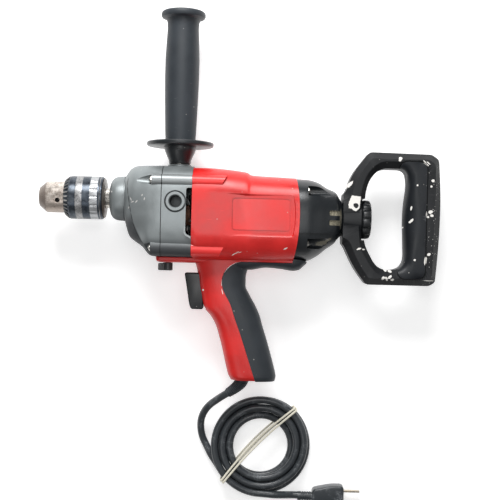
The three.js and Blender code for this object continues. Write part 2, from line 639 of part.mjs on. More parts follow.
function panScrew(name, headFace, dir, place, size, material) {
  const at = (distance) => headFace + dir * distance;
  const sunk = caseScrew.socketDepth;
  const geometry = turned([
    [at(-size.headLength * 0.95 + sunk), 0], [at(-size.headLength * 0.95 + sunk), caseScrew.socket, 1],
    [at(-size.headLength * 0.95), caseScrew.socket, 1], [at(-size.headLength * 0.6), size.head * 0.42],
    [at(-size.headLength * 0.25), size.head / 2], [at(0), size.head / 2], [at(0), size.shank / 2],
    [at(size.length), size.shank / 2], [at(size.length), 0]], 8,
  { ...place, pattern: [-caseScrew.socket * 0.2, -caseScrew.socket * 0.2, caseScrew.socket * 0.15,
    caseScrew.socket * 0.15] });
  add(name, geometry, material);
}

function caseScrews() {
  caseScrewPlaces.forEach((place, i) => panScrew(`gear_case_screw_${i + 1}`,
    -caseScrew.headBack - gap / 2, 1, place, caseScrew, materials.screw));
}

// Gears and shafts
function wheelBlank(pair, place, phase) {
  return gearBlank(pair.wheel, pair.module, [-pair.wheelFront, -pair.wheelRear], place,
    phase + Math.PI + toothHalfTurn(pair.wheel));
}

// A shaft in one piece with the wheel that drives it and the pinion that it drives.
function clusterGear(name, driven, drivenPhase, driving, drivingPhase, place, [x0, x1]) {
  add(name, join(wheelBlank(driven, place, drivenPhase),
    gearBlank(driving.pinion, driving.module, [-driving.pinionFront, -driving.pinionRear], place,
      drivingPhase),
    bar([-driving.pinionRear - gears.overlap, -driven.wheelFront + gears.overlap],
      gears.shaft + gears.neckWall, 8, place),
    bar([x0, x1], gears.shaft, 8, place)), materials.steel);
}

function gearTrain() {
  const { first, second, third } = gears;
  clusterGear('first_shaft', first, armatureToFirst, second, firstToSecond, firstShaft,
    [-gearCase.split - gearPlate.firstBossLength + gears.firstFrontReach, wallRearX + gears.firstRearReach]);
  clusterGear('second_shaft', second, firstToSecond, third, secondToSpindle, secondShaft,
    [-third.pinionFront - gears.secondFrontReach, wallRearX - gears.secondRearRoom]);
}

function spindlePiece() {
  const step = -gearCase.split - spindleSize.step;
  const noseX = chuckRearX - spindleSize.noseLength;
  const shaft = solid(turned([
    [noseX, 0], [noseX, spindleSize.nose], [chuckRearX + gap, spindleSize.nose],
    [chuckRearX + gap, spindleSize.neck], [collarFrontX + collar.frontWall - gap, spindleSize.neck],
    [collarFrontX + collar.frontWall - gap, spindleSize.body], [step, spindleSize.body],
    [step, spindleSize.tail], [-gearCase.split + gearPlate.bossLength, spindleSize.tail],
    [-gearCase.split + gearPlate.bossLength, 0]], 16));
  add('spindle', join(shaft, wheelBlank(gears.third, { y: 0, z: 0 }, secondToSpindle)), materials.steel);
  const bearingX = collarFrontX + collar.frontWall + gap;
  ring('spindle_bearing', [bearingX, bearingX + spindleBearing.width],
    [spindleBearing.inner, spindleBearing.outer], 16, { y: 0, z: 0 }, materials.steel);
}

function ring(name, [x0, x1], [inner, outer], steps, place, material) {
  add(name, turned([[x0, inner], [x0, outer], [x1, outer], [x1, inner]], steps, place), material);
}

// Chuck
const jawAngle = THREE.MathUtils.degToRad(jaw.angle);
const jawTip = noseTipX - jaw.tipReach;

// Each jaw is drawn where it is closed, above the chuck's axis, then drawn back and turned.
function jawRod(radius, [from, to], steps) {
  const geometry = turned([[from, 0], [from, radius], [to, radius], [to, 0]], steps);
  geometry.rotateZ(jawAngle);
  return geometry.translate(jawTip, jaw.ridge + jaw.radius * 0.88, 0);
}

function jawWedge() {
  const spread = Math.tan(Math.PI / 3) * beyond;
  const shape = polygonPlate([[0, 0], [beyond, spread], [beyond, -spread]], [-beyond, beyond], {});
  const inset = jaw.clearance;
  return solid(geometryOf(shape).rotateY(Math.PI / 2).rotateX(Math.PI / 2).translate(0, inset, 0));
}

function chuckPieces() {
  const bodyProfile = [
    [noseTipX, 0], [noseTipX, chuck.tip], [noseTipX + chuck.tipChamfer, chuck.nose],
    [ringFrontX - gap, chuck.nose], [ringRearX + chuck.wall + 2 * gap, chuck.nose],
    [ringRearX + chuck.wall + 2 * gap, chuck.core], [sleeveRearX + gap, chuck.core],
    [sleeveRearX + gap, chuck.rear],
    [chuckRearX - chuck.rearChamfer, chuck.rear], [chuckRearX, chuck.rearSmall], [chuckRearX, 0]];
  let body = solid(turned(bodyProfile, 16));
  body = cut(body, bar([-beyond, chuckRearX - spindleSize.noseLength - chuck.boreEnd], chuck.bore, 12),
    bar([chuckRearX - spindleSize.noseLength - chuck.socketEnd, 0], spindleSize.nose + gap, 12));
  const firstJaw = THREE.MathUtils.degToRad(chuck.jawTurn);
  const jaws = [0, 1, 2].map((i) => firstJaw + (2 * Math.PI * i) / 3);
  for (const turn of jaws) {
    const bore = jawRod(jaw.radius + gap, [-overrun * 2, jaw.length + jaw.travel + chuck.jawRoom], 8);
    body = cut(body, solid(bore.rotateX(turn)));
    const keyHole = barAlong('y', [chuck.nose - chuck.keyHoleDepth, chuck.nose + overrun], chuck.keyHole, 8,
      [ringFrontX - chuck.keyHoleBack, 0, 0]);
    body = cut(body, solid(geometryOf(keyHole).rotateX(turn + Math.PI / 3)));
  }
  add('chuck_body', body, materials.steel);

  const wedge = jawWedge();
  jaws.forEach((turn, i) => {
    const closed = common(solid(jawRod(jaw.radius, [0, jaw.length], 8)), wedge);
    const geometry = geometryOf(closed);
    geometry.translate(jaw.travel * Math.cos(jawAngle), jaw.travel * Math.sin(jawAngle), 0);
    add(`jaw_${i + 1}`, geometry.rotateX(turn), materials.darkSteel);
  });

  const ribs = chuck.ribs * 2;
  const wave = [0, -chuck.ribDepth];
  const at = (share) => ringRearX + chuck.sleeveLength * share;
  add('chuck_sleeve', turned([
    [ringFrontX, chuck.nose + gap], [ringFrontX, chuck.ringFront, chuck.toothShare],
    [ringFrontX + chuck.ringLength * 0.6, chuck.sleeve - chuck.ringEdge, chuck.toothShare],
    [ringRearX, chuck.sleeve - chuck.sleeveEdge],
    [at(0.24), chuck.sleeve], [at(0.25), chuck.sleeve, 1], [at(0.43), chuck.sleeve, 1],
    [at(0.44), chuck.sleeve], [at(0.97), chuck.sleeve], [at(1), chuck.sleeve - chuck.sleeveEdge],
    [at(1), chuck.sleeveBore], [ringRearX + chuck.wall + gap, chuck.sleeveBore],
    [ringRearX + chuck.wall + gap, chuck.nose + gap]], ribs, { pattern: wave }), materials.darkSteel);
  const nutFront = ringRearX + chuck.wall + gap + nut.start;
  ring('chuck_nut', [nutFront, nutFront + nut.width], [nut.inner, chuck.sleeveBore - gap], 20,
    { y: 0, z: 0 }, materials.steel);
}

// Motor
function armaturePieces() {
  const rearEnd = rearBearing.x + rearBearing.width + rearBearing.shaftEnd;
  const shaft = join(
    gearBlank(gears.first.pinion, gears.first.module, [-gears.first.pinionFront, -gears.first.pinionRear],
      motor, armatureToFirst),
    bar([-gears.first.pinionRear - gears.overlap, wallFrontX + armature.pinionNeck],
      armature.shaft * 0.9, 8, motor),
    bar([wallFrontX + gap, rearEnd], armature.shaft - gap, 8, motor));
  add('armature_shaft', shaft, materials.steel);

  const steps = armature.slots * 4;
  const pattern = [0, 0, -armature.slotDepth, -armature.slotDepth];
  const [windFront, windRear] = [armature.coreStart - armature.windingLength,
    armature.coreEnd + armature.windingLength];
  add('armature_core', turned([
    [windFront, armature.shaft], [windFront, armature.winding * 0.9], [armature.coreStart, armature.winding],
    [armature.coreStart, armature.core, 1], [armature.coreEnd, armature.core, 1],
    [armature.coreEnd, armature.winding], [windRear, armature.winding * 0.9],
    [windRear, armature.shaft]], steps,
  { ...motor, pattern }), materials.lamination);
  const rim = armature.commutator + armature.commutatorRim;
  const rimEnd = armature.commutatorStart + armature.commutatorRimWidth;
  add('commutator', turned([
    [armature.commutatorStart, armature.shaft], [armature.commutatorStart, rim],
    [rimEnd, rim], [rimEnd, armature.commutator],
    [armature.commutatorEnd, armature.commutator], [armature.commutatorEnd, armature.shaft]],
  armature.bars, motor), materials.copper);
  fanPiece();
}

function fanPiece() {
  const rear = armature.fanStart + armature.fanWidth;
  let body = solid(turned([
    [armature.fanStart, armature.shaft], [armature.fanStart, armature.fanHub],
    [rear - armature.fanDisc, armature.fanHub], [rear - armature.fanDisc, armature.fan],
    [rear, armature.fan], [rear, armature.shaft]], 20, motor));
  for (let i = 0; i < armature.blades; i += 1) {
    const length = armature.fan - armature.fanHub;
    const blade = new THREE.BoxGeometry(armature.fanWidth, length, armature.bladeThickness);
    blade.translate(armature.fanStart + armature.fanWidth / 2, armature.fanHub + length / 2 - gap, 0);
    blade.rotateX((2 * Math.PI * i) / armature.blades).translate(0, motor.y, motor.z);
    body = join(body, common(solid(blade), bar([armature.fanStart, rear], armature.fan, 20, motor)));
  }
  add('fan', body, materials.blackPlastic);
}

function statorPieces() {
  const limits = [stator.start, stator.end];
  let core = cut(bar(limits, stator.outer, 16, motor),
    bar([-beyond, beyond], stator.outer - stator.yoke, 12, motor));
  for (const side of [1, -1]) {
    const pole = slab(limits, [-stator.poleHalf + motor.y, stator.poleHalf + motor.y],
      side > 0 ? [0, stator.outer - stator.yoke / 2] : [-stator.outer + stator.yoke / 2, 0]);
    core = join(core, pole);
  }
  add('stator_core', cut(core, bar([-beyond, beyond], stator.inner, 16, motor)), materials.lamination);
  for (const [name, side] of [['left', 1], ['right', -1]]) {
    const inner = stator.inner + fieldCoil.airRoom;
    const span = (low, high) => (side > 0 ? [low, high] : [-high, -low]);
    const outerBox = slab([stator.start - fieldCoil.overhang, stator.end + fieldCoil.overhang],
      [motor.y - fieldCoil.half, motor.y + fieldCoil.half], span(inner - fieldCoil.thickness, stator.outer));
    const innerBox = slab([stator.start - gap, stator.end + gap],
      [motor.y - stator.poleHalf - gap, motor.y + stator.poleHalf + gap], span(-beyond, beyond));
    const room = bar([-beyond, beyond], stator.outer - stator.yoke - 4 * gap, 16, motor);
    const coilBody = cut(common(outerBox, room), innerBox, bar([-beyond, beyond], inner, 16, motor));
    add(`field_coil_${name}`, coilBody, materials.copper);
  }
}

function brushPieces() {
  for (const [name, side] of [['left', 1], ['right', -1]]) {
    const span = (low, high) => (side > 0 ? [low, high] : [-high, -low]);
    const across = (grow) => [motor.y - brush.half - grow, motor.y + brush.half + grow];
    const along = (grow) => [brush.start - grow, brush.end + grow];
    add(`brush_${name}`, slab(along(0), across(0), span(brush.inner, brush.inner + brush.length)),
      materials.carbon);
    const grow = gap + brush.boxWall;
    const box = cut(slab(along(grow), across(grow), span(brush.boxInner, brush.boxOuter)),
      slab(along(gap), across(gap), span(0, brush.boxOuter - brush.boxWall)));
    add(`brush_holder_${name}`, box, materials.brass);
  }
}

function bearings() {
  const frontX = wallFrontX + rearWall.web + gap;
  ring('front_bearing', [frontX, frontX + frontBearing.width - frontBearing.recess],
    [frontBearing.inner, frontBearing.outer], 12, motor, materials.steel);
  ring('rear_bearing', [rearBearing.x + gap, rearBearing.x + rearBearing.width],
    [rearBearing.inner, rearBearing.outer], 12, motor, materials.steel);
}

// Housing halves, grip covers and end cap
// The curved joint between the housing and the end cap, as the region in front of it.
function frontOfCap(shift) {
  const middle = (barrel.top - barrel.depth) / 2;
  const halfHeight = (barrel.top + barrel.depth) / 2;
  const edge = rearEdgeShares.map((share) =>
    [barrel.length + shift - rearEdge.sag * share ** 2, middle + halfHeight * share]);
  const [first, last] = [edge[0][0], edge[edge.length - 1][0]];
  return polygonPlate([[-beyond, -beyond], [first, -beyond], ...edge, [last, beyond], [-beyond, beyond]],
    [-beyond, beyond]);
}

// The red skin's outline on the grip, as shares of the grip's length and depth.
const coverEdgeShares = [
  [0.337, 0.958], [0.342, 0.89], [0.358, 0.772], [0.388, 0.658], [0.42, 0.602], [0.452, 0.588],
  [0.48, 0.602], [0.512, 0.646], [0.546, 0.72], [0.58, 0.782], [0.655, 0.878], [0.748, 1.006],
  [1.1, 1.45],
];

function coverRegion(shift) {
  const edge = coverEdgeShares.map(([down, along]) =>
    [grip.topFront + grip.depth * along + shift, -grip.length * down - shift]);
  const top = -grip.length * coverEdgeShares[0][0] - shift;
  const bottom = -grip.length * coverEdgeShares[coverEdgeShares.length - 1][0];
  return polygonPlate([[endCap.length + barrel.length + shift, top], ...edge,
    [beyond, bottom], [beyond, top]], [-beyond, beyond]);
}

const housingScrewPlaces = [
  { x: 14, y: 24.6, reach: 34.5 }, { x: 99, y: -54.6, reach: 32.5 }, { x: 46, y: -158, reach: 16.2 }];
const housingScrew = {
  boss: 5.2, shank: 3.4, head: 6.6, headLength: 2.3, length: 20, sunk: 24, recess: 4.2, endRoom: 1,
};

function housingHalves() {
  const outside = shellBody(0);
  const inside = join(barrelMouth(), gripLoft(-grip.wall));
  const skin = cut(shellBody(2 * cover.proud), shellBody(-cover.thickness));
  const shell = cut(outside, inside);
  const region = frontOfCap(-gap / 2);
  let body = common(cut(shell, common(coverRegion(0), skin)), region);
  body = cut(body, ...housingCuts());
  const bosses = housingScrewPlaces.map(({ x, y, reach }) =>
    barAlong('z', [-reach, reach], housingScrew.boss, 6, [x, y, 0]));
  body = join(body, ...bosses);
  const ahead = [-beyond, gap / 2];
  body = cut(body, common(caseLoft(gap), slab(ahead, [-beyond, beyond], [-beyond, beyond])),
    slab(ahead, [-tongue.top, beyond], [-beyond, beyond]));
  for (const [name, side] of [['left', 1], ['right', -1]]) {
    const half = slab([-beyond, beyond], [-beyond, beyond],
      side > 0 ? [gap / 2, beyond] : [-beyond, -gap / 2]);
    let piece = common(body, half);
    for (const { x, y } of housingScrewPlaces) {
      const seat = housingScrewSeat(y);
      const bore = barAlong('z', [-seat - overrun, housingScrew.length - seat + housingScrew.endRoom],
        housingScrew.shank / 2 + 2 * gap, 6, [x, y, 0]);
      piece = cut(piece, bore);
      const recess = barAlong('z', [-beyond, -seat], housingScrew.recess, 6, [x, y, 0]);
      if (side < 0) piece = cut(piece, recess);
    }
    add(`housing_${name}`, largest(piece), materials.redShell);
  }
}

// The depth of the screw seats: nearer the skin on the slim grip.
const housingScrewSeat = (y) => (y < -barrel.depth ? grip.half * 0.62 : housingScrew.sunk * 0.85);

function largest(body) {
  return body.decompose().sort((a, b) => b.volume() - a.volume())[0];
}

// The barrel's interior is open at both ends.
function barrelMouth() {
  return common(barrelLoft(-barrel.wall), slab([-overrun, beyond], [-beyond, beyond], [-beyond, beyond]));
}

// Openings through the housing for the trigger, the lever, the switch room and the lead.
function housingCuts() {
  const trigger = slab([-overrun * 3, triggerSize.rear + triggerSize.travel],
    [-triggerSize.bottom - gap, -triggerSize.top + gap], [-triggerSize.half - gap, triggerSize.half + gap]);
  const leverPin = barAlong('y', [-tongue.depth - overrun, -tongue.top + overrun], lever.pin + gap, 8,
    [-lever.back, 0, 0]);
  const lead = barAlong('y', [-grip.length - overrun, -grip.length + relief.inside + gap],
    relief.large + gap, 8, [relief.x, 0, 0]);
  return [trigger, leverPin, lead];
}

function coverPieces() {
  const skin = cut(shellBody(cover.proud), shellBody(-cover.thickness + gap));
  let body = common(skin, coverRegion(gap * 1.5), slab([-beyond, beyond],
    [-beyond, -barrel.depth - cover.lowering], [-beyond, beyond]));
  body = cut(body, ...housingCuts());
  for (const [name, side] of [['left', 1], ['right', -1]]) {
    const half = slab([-beyond, beyond], [-beyond, beyond],
      side > 0 ? [gap / 2, beyond] : [-beyond, -gap / 2]);
    let piece = common(body, half);
    for (const { x, y } of housingScrewPlaces) {
      piece = cut(piece, barAlong('z', [-beyond, beyond], housingScrew.boss + 2 * gap, 6, [x, y, 0]));
    }
    add(`grip_cover_${name}`, largest(piece), materials.rubber);
  }
}

function housingScrews() {
  housingScrewPlaces.forEach(({ x, y }, i) => {
    const seat = -housingScrewSeat(y);
    const { head, headLength, shank, length } = housingScrew;
    const geometry = turned([
      [-headLength, 0], [-headLength, head * 0.34], [-headLength * 0.4, head / 2 - gap],
      [-gap / 2, head / 2 - gap],
      [-gap / 2, shank / 2], [length, shank / 2], [length, 0]], 8);
    geometry.rotateY(-Math.PI / 2).translate(x, y, seat);
    add(`housing_screw_${i + 1}`, geometry, materials.screw);
  });
}

const capScrewPlaces = [1, -1].flatMap((up) => [1, -1].map((left) =>
  ({ y: motor.y + up * capScrew.rise, z: left * capScrew.side })));

function endCapPiece() {
  const region = cut(slab([0, capRearX], [-beyond, beyond], [-beyond, beyond]), frontOfCap(gap / 2));
  const mouthX = barrel.length - rearEdge.sag - overrun * 2;
  const cavity = solid(turned([
    [mouthX, 0], [mouthX, endCap.room], [capInnerRearX - endCap.length * 0.45, endCap.room * 0.93],
    [capInnerRearX - endCap.length * 0.14, endCap.room * 0.7], [capInnerRearX, endCap.hubRadius],
    [capInnerRearX, 0]], 10, motor));
  let body = common(cut(capLoft(0), cavity), region);
  const webLimits = [rearBearing.x + rearBearing.width - gap, rearBearing.x + rearBearing.width + endCap.web];
  const web = join(slab(webLimits, [-beyond, beyond], [-endCap.armHalf, endCap.armHalf]),
    slab(webLimits, [motor.y - endCap.armHalf, motor.y + endCap.armHalf], [-beyond, beyond]));
  const hub = bar([rearBearing.x + rearBearing.hubStart, webLimits[1]], rearBearing.outer + endCap.wall,
    12, motor);
  body = join(body, common(web, capLoft(-endCap.wall / 2)), hub);
  body = cut(body, bar([0, rearBearing.x + rearBearing.width], rearBearing.outer + gap, 12, motor),
    bar([0, beyond], armature.shaft + armature.shaftRoom, 8, motor),
    bar([capInnerRearX - overrun, beyond], rearStud.radius + gap, 8, motor));
  for (const place of capScrewPlaces) {
    const post = bar([barrel.length + gap, capScrew.x + endCap.wall],
      capScrew.head / 2 + capScrew.wall, 6, place);
    body = join(body, post);
    const grooveEnd = capScrew.x + capScrew.grooveLength;
    const groove = solid(turned([
      [capScrew.x, 0], [capScrew.x, capScrew.recess],
      [grooveEnd, capScrew.recess + capScrew.grooveFlare], [grooveEnd, 0]], 8, place));
    body = cut(body, groove, bar([0, capScrew.x + overrun], capScrew.shank / 2 + 2 * gap, 6, place));
  }
  for (const side of [1, -1]) {
    for (const up of [0.5, -0.5]) {
      const middle = motor.y + up * ventSlot.pitch;
      const depth = side > 0 ? [endCap.hubRadius * 0.75, beyond] : [-beyond, -endCap.hubRadius * 0.75];
      body = cut(body, slab([ventSlot.start, ventSlot.end],
        [middle - ventSlot.height / 2, middle + ventSlot.height / 2], depth));
    }
  }
  body = cut(body, common(shellBody(cover.proud + gap),
    slab([0, lip.end + overrun], [-beyond, -barrel.depth * 0.9], [-beyond, beyond])));
  add('end_cap', largest(body), materials.blackPlastic);
  capScrewPlaces.forEach((place, i) => panScrew(`end_cap_screw_${i + 1}`, capScrew.x + gap / 2, -1, place,
    { head: capScrew.head, headLength: capScrew.headLength, shank: capScrew.shank,
      length: capScrew.x - barrel.length - rearEdge.sag - capScrew.endRoom }, materials.screw));
}

// Trigger, switch and direction lever
function triggerPieces() {
  const { top, bottom, front, rear, half, lean, corner, hollow, heel } = triggerSize;
  const height = bottom - top;
  const body = polygonPlate([
    [rear - gap, -top, corner], [-front, -top, corner], [-front + lean * 0.38, -top - height * 0.45, hollow],
    [-front + lean * 0.72, -top - height * 0.86, heel], [-front + lean, -bottom, corner],
    [rear - gap, -bottom, corner]],
  [-half, half], { bevel: triggerSize.bevel, curveSegments: 2 });
  add('trigger', body, materials.blackPlastic);
  add('switch_module', slab([switchBox.front, switchBox.rear], [-switchBox.bottom, -switchBox.top],
    [-switchBox.half, switchBox.half]), materials.blackPlastic);

  const pivot = [-lever.back, 0, 0];
  const pin = barAlong('y', [-tongue.depth - gap, -gearCase.depth - 2 * gap], lever.pin, 10, pivot);
  const boss = barAlong('y', [-lever.bottom, -tongue.depth - gap], lever.hub, 10, pivot);
  const blade = slab([-lever.back - lever.length, -lever.back], [-lever.bottom, -tongue.depth - gap * 3],
    [-lever.half, lever.half]);
  add('direction_lever', join(pin, boss, blade), materials.blackPlastic);
}

// Rear D-handle, its stud and knob
// Outline points as shares of the handle's length behind its start, and of its height above
// (or below) the spindle axis, with corner radii as shares of the length.
const dOuterShares = [
  [-0.1, 0.085, 0.02], [0.02, 0.2, 0.08], [0.085, 0.58, 0.14], [0.27, 1, 0.1], [0.87, 1, 0.09],
  [0.965, 0.93, 0.09], [1, 0.2, 0.4], [0.995, -0.42, 0.4], [0.96, -0.95, 0.09], [0.88, -1, 0.09],
  [0.25, -1, 0.1], [0.12, -0.78, 0.14], [0.01, -0.5, 0.08], [-0.1, -0.42, 0.02],
];
const dInnerShares = [
  [0.225, 0.21, 0.1], [0.265, 0.5, 0.14], [0.37, 0.75, 0.16], [0.66, 0.75, 0.12], [0.675, 0.4, 0.2],
  [0.64, -0.1, 0.3], [0.665, -0.8, 0.14], [0.37, -0.82, 0.16], [0.25, -0.55, 0.14], [0.225, -0.46, 0.1],
];
const dMiddleShare = 0.44;
const handlePoint = ([along, rise, corner]) => [dHandle.start + dHandle.length * along,
  rise > 0 ? dHandle.top * rise : dHandle.bottom * rise, dHandle.length * corner];

// How far an outline lies from a point inside it, in one direction.
function reachAlong(outline, middle, turn) {
  const way = new THREE.Vector2(Math.cos(turn), Math.sin(turn));
  let reach = 0;
  outline.forEach((from, i) => {
    const span = outline[(i + 1) % outline.length].clone().sub(from);
    const offset = from.clone().sub(middle);
    const spread = way.cross(span);
    const share = spread === 0 ? -1 : offset.cross(way) / spread;
    if (share >= 0 && share <= 1) reach = Math.max(reach, offset.cross(span) / spread);
  });
  return reach;
}

// The D as a loop of rounded sections, each between the outer and the inner outline.
function handleLoop() {
  const outer = roundedOutline(dOuterShares.map(handlePoint), new THREE.Path()).getPoints(4);
  const inner = roundedOutline(dInnerShares.map(handlePoint), new THREE.Path()).getPoints(4);
  const middle = new THREE.Vector2(dHandle.start + dHandle.length * dMiddleShare, motor.y);
  const rings = Array.from({ length: dHandle.rings }, (_, k) => {
    const turn = (2 * Math.PI * k) / dHandle.rings;
    const [far, near] = [reachAlong(outer, middle, turn), reachAlong(inner, middle, turn)];
    return section(0, [near, far], dHandle.half, dHandle.power, dHandle.points).map(({ y, z }) =>
      new THREE.Vector3(middle.x + y * Math.cos(turn), middle.y + y * Math.sin(turn), z));
  });
  return solid(ringsBody(rings, true));
}

function rearHandlePieces() {
  const frame = handleLoop();
  const hubEnd = dHandle.start + dHandle.hubLength;
  let body = join(frame, bar([dHandle.start, hubEnd], dHandle.hub, 16, motor));
  body = cut(body, slab([0, dHandle.start], [-beyond, beyond], [-beyond, beyond]));
  const rest = slab([hubEnd, hubEnd + knob.length + 2 * gap], [motor.y - knob.radius - knob.room,
    motor.y + knob.radius + knob.room], [-beyond, beyond]);
  body = cut(body, rest, bar([0, dHandle.start + dHandle.length / 3], dHandle.bore, 8, motor));

  const gripEdge = dHandle.start + dHandle.length - dHandle.spine;
  const region = (grow) => slab([dHandle.start + dHandle.length * 0.6 - grow, gripEdge + grow],
    [-dHandle.bottom * 0.73 - grow, dHandle.top * 0.62 + grow], [-beyond, beyond]);
  const sleeve = common(cut(body, rearHandleCore(gap)), region(-gap));
  add('rear_handle_grip', largest(sleeve), materials.rubber);
  add('rear_handle', largest(cut(body, common(cut(body, rearHandleCore(0)), region(0)))),
    materials.blackPlastic);
}

// The bar's core under its soft sleeve.
function rearHandleCore(grow) {
  const inset = dHandle.gripThickness - grow;
  const low = dHandle.start + dHandle.length * 0.64 + inset;
  return slab([low + inset, beyond], [-beyond, beyond], [-dHandle.half + inset, dHandle.half - inset]);
}

function rearKnobAndStud() {
  const start = dHandle.start + dHandle.hubLength + gap;
  const end = start + knob.length;
  const steps = knob.ribs * 2;
  const pattern = [0, -knob.ribDepth];
  add('rear_handle_knob', turned([
    [start, knob.bore], [start, knob.radius * 0.9], [start + knob.length * 0.16, knob.radius, 1],
    [end - knob.length * 0.3, knob.radius, 1], [end, knob.radius * 0.86], [end, knob.bore]], steps,
  { ...motor, pattern }), materials.blackPlastic);
  const headX = capInnerRearX - gap - rearStud.flangeLength;
  add('rear_handle_stud', turned([
    [headX, 0], [headX, rearStud.flange], [headX + rearStud.flangeLength, rearStud.flange],
    [headX + rearStud.flangeLength, rearStud.radius], [end + rearStud.proud, rearStud.radius],
    [end + rearStud.proud, 0]], 8, motor), materials.steel);
}

// Side handle
function sideHandlePieces() {
  const base = topBoss.rise + sideHandle.gap;
  const guardBase = sideHandle.guardRise;
  const guardTop = guardBase + sideHandle.guardThickness;
  const top = topBoss.rise + sideHandle.length;
  const gripTop = top - sideHandle.flangeThickness;
  const gripBase = guardTop + sideHandle.gripRise;
  const upright = (profile, steps, options) => {
    const geometry = turned(profile, steps, options);
    return geometry.rotateZ(Math.PI / 2).translate(-topBoss.back, 0, 0);
  };
  const at = (share) => gripBase + (gripTop - gripBase) * share;
  const studTop = base + sideHandle.studInHandle;
  add('side_handle', upright([
    [studTop + sideHandle.studRoom, 0], [studTop + sideHandle.studRoom, sideHandle.studRadius + gap],
    [base, sideHandle.studRadius + gap],
    [base, sideHandle.neck], [base + sideHandle.coneLength * 0.3, sideHandle.neck * 1.06],
    [base + sideHandle.coneLength, sideHandle.cone], [guardBase, sideHandle.cone],
    [guardBase, sideHandle.guard - sideHandle.guardEdge],
    [guardBase + sideHandle.guardEdge, sideHandle.guard],
    [guardTop - sideHandle.guardEdge, sideHandle.guard],
    [guardTop, sideHandle.guard - sideHandle.guardSlope],
    [guardTop + sideHandle.collarRise, sideHandle.gripLow], [gripBase - gap, sideHandle.gripLow],
    [gripBase - gap, sideHandle.core], [gripTop, sideHandle.core], [gripTop, 0]], 14),
  materials.blackPlastic);
  add('side_handle_grip', upright([
    [gripTop + gap, 0], [gripTop + gap, sideHandle.core + gap], [gripBase, sideHandle.core + gap],
    [gripBase, sideHandle.gripLow], [at(0.12), sideHandle.gripLow + sideHandle.lowSwell],
    [at(0.4), sideHandle.grip], [at(0.7), sideHandle.grip + sideHandle.highSwell],
    [at(0.93), sideHandle.gripTop], [at(0.97), sideHandle.gripTop + sideHandle.neckSwell],
    [gripTop, sideHandle.flange - sideHandle.flangeEdge],
    [gripTop + sideHandle.flangeStart, sideHandle.flange], [top - sideHandle.flangeRound, sideHandle.flange],
    [top, sideHandle.flange - sideHandle.flangeDish], [top, 0]], 14), materials.rubber);
  add('side_handle_stud', upright([
    [topBoss.rise - sideHandle.studInBoss, 0],
    [topBoss.rise - sideHandle.studInBoss, sideHandle.studRadius],
    [studTop, sideHandle.studRadius], [studTop, 0]], 10), materials.steel);
}

// Mains lead: strain relief, lead, coil, tail, tie and plug
const tableZ = -barrel.half;
const lowLayerZ = tableZ + cord.lift + cord.radius;

// The coil's centre line: in on the low layer, up a layer in the half turn where the spiral
// reverses, and out again on top.
function coilPath() {
  const steps = Math.round(coil.turns * coil.steps);
  const points = [];
  for (let i = 0; i <= steps; i += 1) {
    const turns = (i / steps) * coil.turns;
    const fromMiddle = turns - coil.turns / 2;
    const radius = coil.radius - coil.pitch * (coil.turns / 2 - Math.abs(fromMiddle));
    const climb = THREE.MathUtils.smoothstep(fromMiddle, -0.25, 0.25);
    const angle = THREE.MathUtils.degToRad(coil.start) + 2 * Math.PI * turns;
    points.push(new THREE.Vector3(coil.x + radius * Math.cos(angle), coil.y + radius * Math.sin(angle),
      lowLayerZ + coil.pitch * climb));
  }
  return points;
}

// A tube through points kept as they are, with a straight run of one diameter at both ends.
function tubeThrough(points, radius, sides) {
  const up = new THREE.Vector3(0, 0, 1);
  const rings = points.map((point, i) => {
    const ahead = points[Math.min(i + 1, points.length - 1)];
    const behind = points[Math.max(i - 1, 0)];
    const along = ahead.clone().sub(behind).normalize();
    const side = new THREE.Vector3().crossVectors(up, along).normalize();
    const lift = new THREE.Vector3().crossVectors(along, side);
    return Array.from({ length: sides }, (_, k) => {
      const turn = (2 * Math.PI * (k + 0.5)) / sides;
      return point.clone().addScaledVector(side, radius * Math.cos(turn))
        .addScaledVector(lift, radius * Math.sin(turn));
    });
  });
  return ringsBody(rings);
}

function leastGapInCoil(points) {
  let least = Infinity;
  points.forEach((a, i) => {
    for (let j = i + Math.round(coil.steps / 2); j < points.length; j += 1) {
      least = Math.min(least, a.distanceTo(points[j]) - 2 * cord.radius);
    }
  });
  return least;
}

